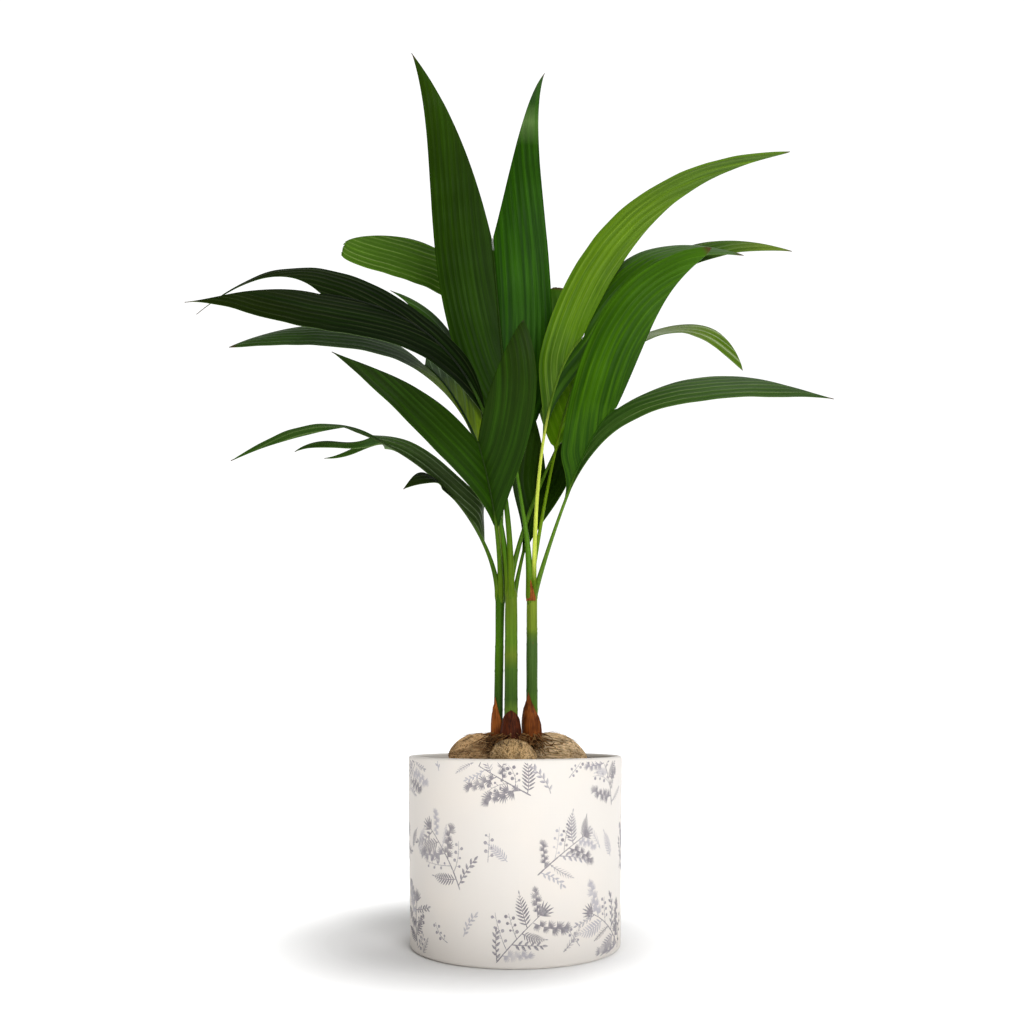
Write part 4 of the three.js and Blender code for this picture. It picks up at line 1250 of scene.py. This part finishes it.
class Blade:
    """One lobe of a frond. Its inner edge runs along the stalk, then leaves it and follows its own line."""

    def __init__(self, frond, lobe, seed):
        self.frond = frond
        self.lobe = lobe
        self.seed = seed
        self.controls = stalk_controls(frond)
        self.start = frond["bare"] + (1 - frond["bare"]) * lobe["start"]
        self.end = frond["bare"] + (1 - frond["bare"]) * lobe["end"]
        self.base = self.stalk(self.start)
        self.length = path_length(self.line, 0, 1)
        self.joined = min(0.95, path_length(self.stalk, self.start, self.end) / self.length)
        self.shift = self.stalk(self.end) - self.free_edge(self.joined)
        self.rings = {}

    def stalk(self, share):
        return cubic(self.controls, share)

    def slim(self, share):
        """How much of its width a blade has where it runs out into the stalk in a slim wedge."""
        return 0.12 + 0.88 * math.sin(min(1.0, share / self.lobe["lead_in"]) * math.pi / 2) ** 1.5

    def line(self, share):
        return lobe_line(self.base, self.lobe, share)

    def way(self, share):
        return self.line(min(1.0, share + 0.01)) - self.line(max(0.0, share - 0.01))

    def faced(self, share):
        first, last = self.lobe["tilt"]
        return headed(self.lobe["faces"], first + (last - first) * share)

    def across(self, share):
        return self.way(share).cross(self.faced(share)).normalized() * self.lobe["side"]

    def free_edge(self, share):
        return self.line(share) - self.across(share) * half_width(self.lobe, share)

    def ring(self, share):
        """The inner edge, outer edge, facing and width of the blade at a share of its length."""
        key = round(share, 6)
        if key in self.rings:
            return self.rings[key]
        away = self.across(share)
        along_stalk = self.start + (self.end - self.start) * min(share, self.joined) / self.joined
        fade = max(0.0, 1 - max(0.0, share - self.joined) / FORK_FADE) ** 2
        clear = stalk_radius(self.frond, along_stalk) * 0.55 * fade
        stalk_way = (self.stalk(along_stalk + 0.005) - self.stalk(along_stalk - 0.005)).normalized()
        aside = (away - stalk_way * away.dot(stalk_way)).normalized()
        inner = self.stalk(along_stalk) if share <= self.joined else self.free_edge(share) + self.shift * fade
        outer = self.line(share) + away * (half_width(self.lobe, share) + clear)
        inner = inner + aside * clear
        outer = inner.lerp(outer, self.slim(share))
        width = (outer - inner).dot(away)
        least = 0.5 + (self.lobe["thread"] - 0.5) * min(1.0, 4 * share, 8 * (1 - share))
        if width < least:
            outer = outer + away * (least - width)
            width = least
        facing = self.way(share).cross(away).normalized()
        if facing.dot(self.faced(0.5)) < 0:
            facing = -facing
        self.rings[key] = (inner, outer, facing, width)
        return self.rings[key]

    def point(self, share, part, sizes):
        """A point of the folded blade, and its distance from the outer edge."""
        if self.lobe["blunt"]:
            share *= 1 - 0.006 * (1 + noise.noise(Vector((part * 9, 1, 0)))) * share**8
        inner, outer, facing, width = self.ring(share)
        from_edge = (1 - part) * width
        # The folds and waves die away where the blade is narrow, at its ends and along its edges.
        calm = min(1.0, width / 14) * min(1.0, 6 * (1 - share) + 0.1) * min(1.0, 5 * share + 0.15)
        near_edges = min(1.0, part * width / 5, from_edge / 2 + 0.2)
        fold = math.cos(FULL_TURN * from_edge * MM / sizes.pleat) * sizes.pleat_depth / MM * calm * near_edges
        edge_wave = noise.noise(Vector((share * self.length * 0.045, self.seed, part * 0.6)))
        ruffle = edge_wave * (0.5 + 0.9 * part) * calm
        camber = 4 * part * (1 - part) * width * sizes.camber
        return inner.lerp(outer, part) + facing * (fold + camber + ruffle), from_edge


class PALM_OT_leaves(bpy.types.Operator):
    """Unfold the blades of every frond"""

    bl_idname = "palm.leaves"
    bl_label = "Leaves"

    def execute(self, context):
        sizes = context.scene.palm_leaves
        skins = {finish: leaf_skin(finish) for finish in FINISHES}
        count = 0
        for frond_name, frond in FRONDS.items():
            for lobe_name, lobe in frond["lobes"].items():
                count += 1
                self.unfold(Blade(frond, lobe, count * SEED_STEP), f"{frond_name}_{lobe_name}", skins, sizes)
        return {"FINISHED"}

    def unfold(self, blade, name, skins, sizes):
        lobe = blade.lobe
        bm = bmesh.new()
        along = max(40, round(blade.length / BLADE_STEP))
        across = max(8, round(lobe["outline"][0] * MM / sizes.mesh_step))
        distance = {}

        def place(u, v):
            spot, from_edge = blade.point(u, v, sizes)
            distance[(round(u, 6), round(v, 6))] = from_edge * MM
            return spot * MM

        # The layers come first: adding one later would cut the script's hold on the points.
        layer = bm.loops.layers.uv.new("blade")
        way = bm.verts.layers.float.new("share")
        shares = draped_sheet(bm, along, across, place)
        for vert, (u, v) in shares.items():
            vert[way] = u
            # Every blade starts elsewhere on the streaks, so that no two look alike.
            spot = (distance[(round(u, 6), round(v, 6))], blade.seed * 0.13 + u * blade.length * MM)
            for loop in vert.link_loops:
                loop[layer].uv = spot
        middle = min(bm.faces, key=lambda face: (face.calc_center_median() / MM - blade.line(0.5)).length)
        middle.normal_update()
        if middle.normal.dot(blade.ring(0.5)[2]) < 0:
            bmesh.ops.reverse_faces(bm, faces=bm.faces)
        slots = [skins[lobe["front"]], skins[lobe["back"]]]
        piece = finish_piece(bm, f"blade_{name}", slots, [f"leaf_{name}"] if lobe["solid"] else [])
        shell = thicken(piece, sizes.thickness)
        shell.material_offset = shell.material_offset_rim = 1


class PALM_OT_stage(bpy.types.Operator):
    """Set up the pale floor, the soft lights and the camera"""

    bl_idname = "palm.stage"
    bl_label = "Studio"

    def execute(self, context):
        scene = context.scene
        self.floor(scene, scene.palm_stage)
        self.air(scene)
        for name, row in LIGHTS.items():
            self.light(scene, name, getattr(scene.palm_stage, name), *row)
        self.camera(scene)
        scene.view_settings.view_transform = "Standard"
        return {"FINISHED"}

    def floor(self, scene, sizes):
        """A sheet of matt paper with a painted glow far from the pot, so that floor and air meet without a
        line, and a painted shadow near the pot where the glow is nil.
        """
        bm = bmesh.new()
        bmesh.ops.create_grid(bm, x_segments=2, y_segments=2, size=sizes.floor / 2)
        mesh = bpy.data.meshes.new("studio_floor")
        bm.to_mesh(mesh)
        bm.free()
        floor = bpy.data.objects.new("studio_floor", mesh)
        floor.location = (0, 0, -FLOOR_DROP)
        scene.collection.objects.link(floor)
        material, tree, shader = new_material("floor_matt_paper", Roughness=0.9, Specular_IOR_Level=0.1)
        shader.inputs["Base Color"].default_value = (*sizes.floor_colour, 1.0)
        shader.inputs["Emission Color"].default_value = (1, 1, 1, 1)
        place = add(tree, "ShaderNodeTexCoord", output="Object")
        away = add(tree, "ShaderNodeVectorMath", (place, PAINTED_SHADOW_MIDDLE), output="Value", operation="DISTANCE")
        # The emission is a painted glow: nil round the painted shadow's middle, full beyond its reach.
        wire(tree, shader, {"Emission Strength": add(tree, MAP, (away, *PAINTED_GLOW_REACH), **EASED)})
        mesh.materials.append(material)

    def air(self, scene):
        """Air that is bright behind the plant and dim elsewhere, but looks white from every side."""
        world = bpy.data.worlds.new("studio_air")
        world.use_nodes = True
        scene.world = world
        tree = world.node_tree
        way = add(tree, "ShaderNodeTexCoord", output="Generated")
        back = add(tree, "ShaderNodeSeparateXYZ", (way,), output="Y")
        seen = add(tree, "ShaderNodeLightPath", output="Is Camera Ray")
        white = add(tree, MATH, (seen, AIR_BRIGHT), operation="MULTIPLY")
        glow = add(tree, MAP, (back, 0.45, 0.63, AIR_DIM, AIR_BRIGHT), **EASED)
        strength = add(tree, MATH, (glow, white), operation="MAXIMUM")
        wire(tree, tree.nodes["Background"], {"Strength": strength, "Color": (1, 1, 1, 1)})

    def light(self, scene, name, power, place, size, aim, colour):
        data = bpy.data.lights.new(f"light_{name}", "AREA")
        data.shape = "SQUARE"
        data.size = size
        data.energy = power
        data.color = colour
        lamp = bpy.data.objects.new(f"light_{name}", data)
        lamp.location = place
        lamp.rotation_euler = (raised(aim) - Vector(place)).to_track_quat("-Z", "Y").to_euler()
        scene.collection.objects.link(lamp)

    def camera(self, scene):
        data = bpy.data.cameras.new("camera")
        data.sensor_width = SENSOR
        data.lens = LENS
        data.shift_y = FRAME_SHIFT
        data.clip_end = FAR_END
        camera = bpy.data.objects.new("camera", data)
        camera.location = Vector(EYE) * MM
        camera.rotation_euler = (math.radians(EYE_TILT), 0, 0)
        scene.collection.objects.link(camera)
        scene.camera = camera


class PALM_PT_panel(bpy.types.Panel):
    bl_label = "Potted betel nut palm"
    bl_idname = "PALM_PT_panel"
    bl_space_type = "VIEW_3D"
    bl_region_type = "UI"
    bl_category = "Palm"

    def draw(self, context):
        layout = self.layout
        for group, properties in GROUPS.items():
            box = layout.box()
            for name in properties.__annotations__:
                box.prop(getattr(context.scene, group), name)
        for operator in OPERATORS:
            layout.operator(operator.bl_idname)


GROUPS = {
    "palm_pot": PotSizes,
    "palm_ground": GroundSizes,
    "palm_leaves": LeafSizes,
    "palm_stage": StageSizes,
}
OPERATORS = (
    PALM_OT_pot,
    PALM_OT_print,
    PALM_OT_compost,
    PALM_OT_nuts,
    PALM_OT_stems,
    PALM_OT_scales,
    PALM_OT_stalks,
    PALM_OT_leaves,
    PALM_OT_stage,
)


def register():
    for cls in (*GROUPS.values(), *OPERATORS, PALM_PT_panel):
        bpy.utils.register_class(cls)
    for name, cls in GROUPS.items():
        setattr(bpy.types.Scene, name, bpy.props.PointerProperty(type=cls))


def unregister():
    for name in GROUPS:
        delattr(bpy.types.Scene, name)
    for cls in reversed((*GROUPS.values(), *OPERATORS, PALM_PT_panel)):
        bpy.utils.unregister_class(cls)


def main():
    register()
    bpy.ops.palm.pot()
    bpy.ops.palm.print()
    bpy.ops.palm.compost()
    bpy.ops.palm.nuts()
    bpy.ops.palm.stems()
    bpy.ops.palm.scales()
    bpy.ops.palm.stalks()
    bpy.ops.palm.leaves()
    bpy.ops.palm.stage()


if __name__ == "__main__":
    main()
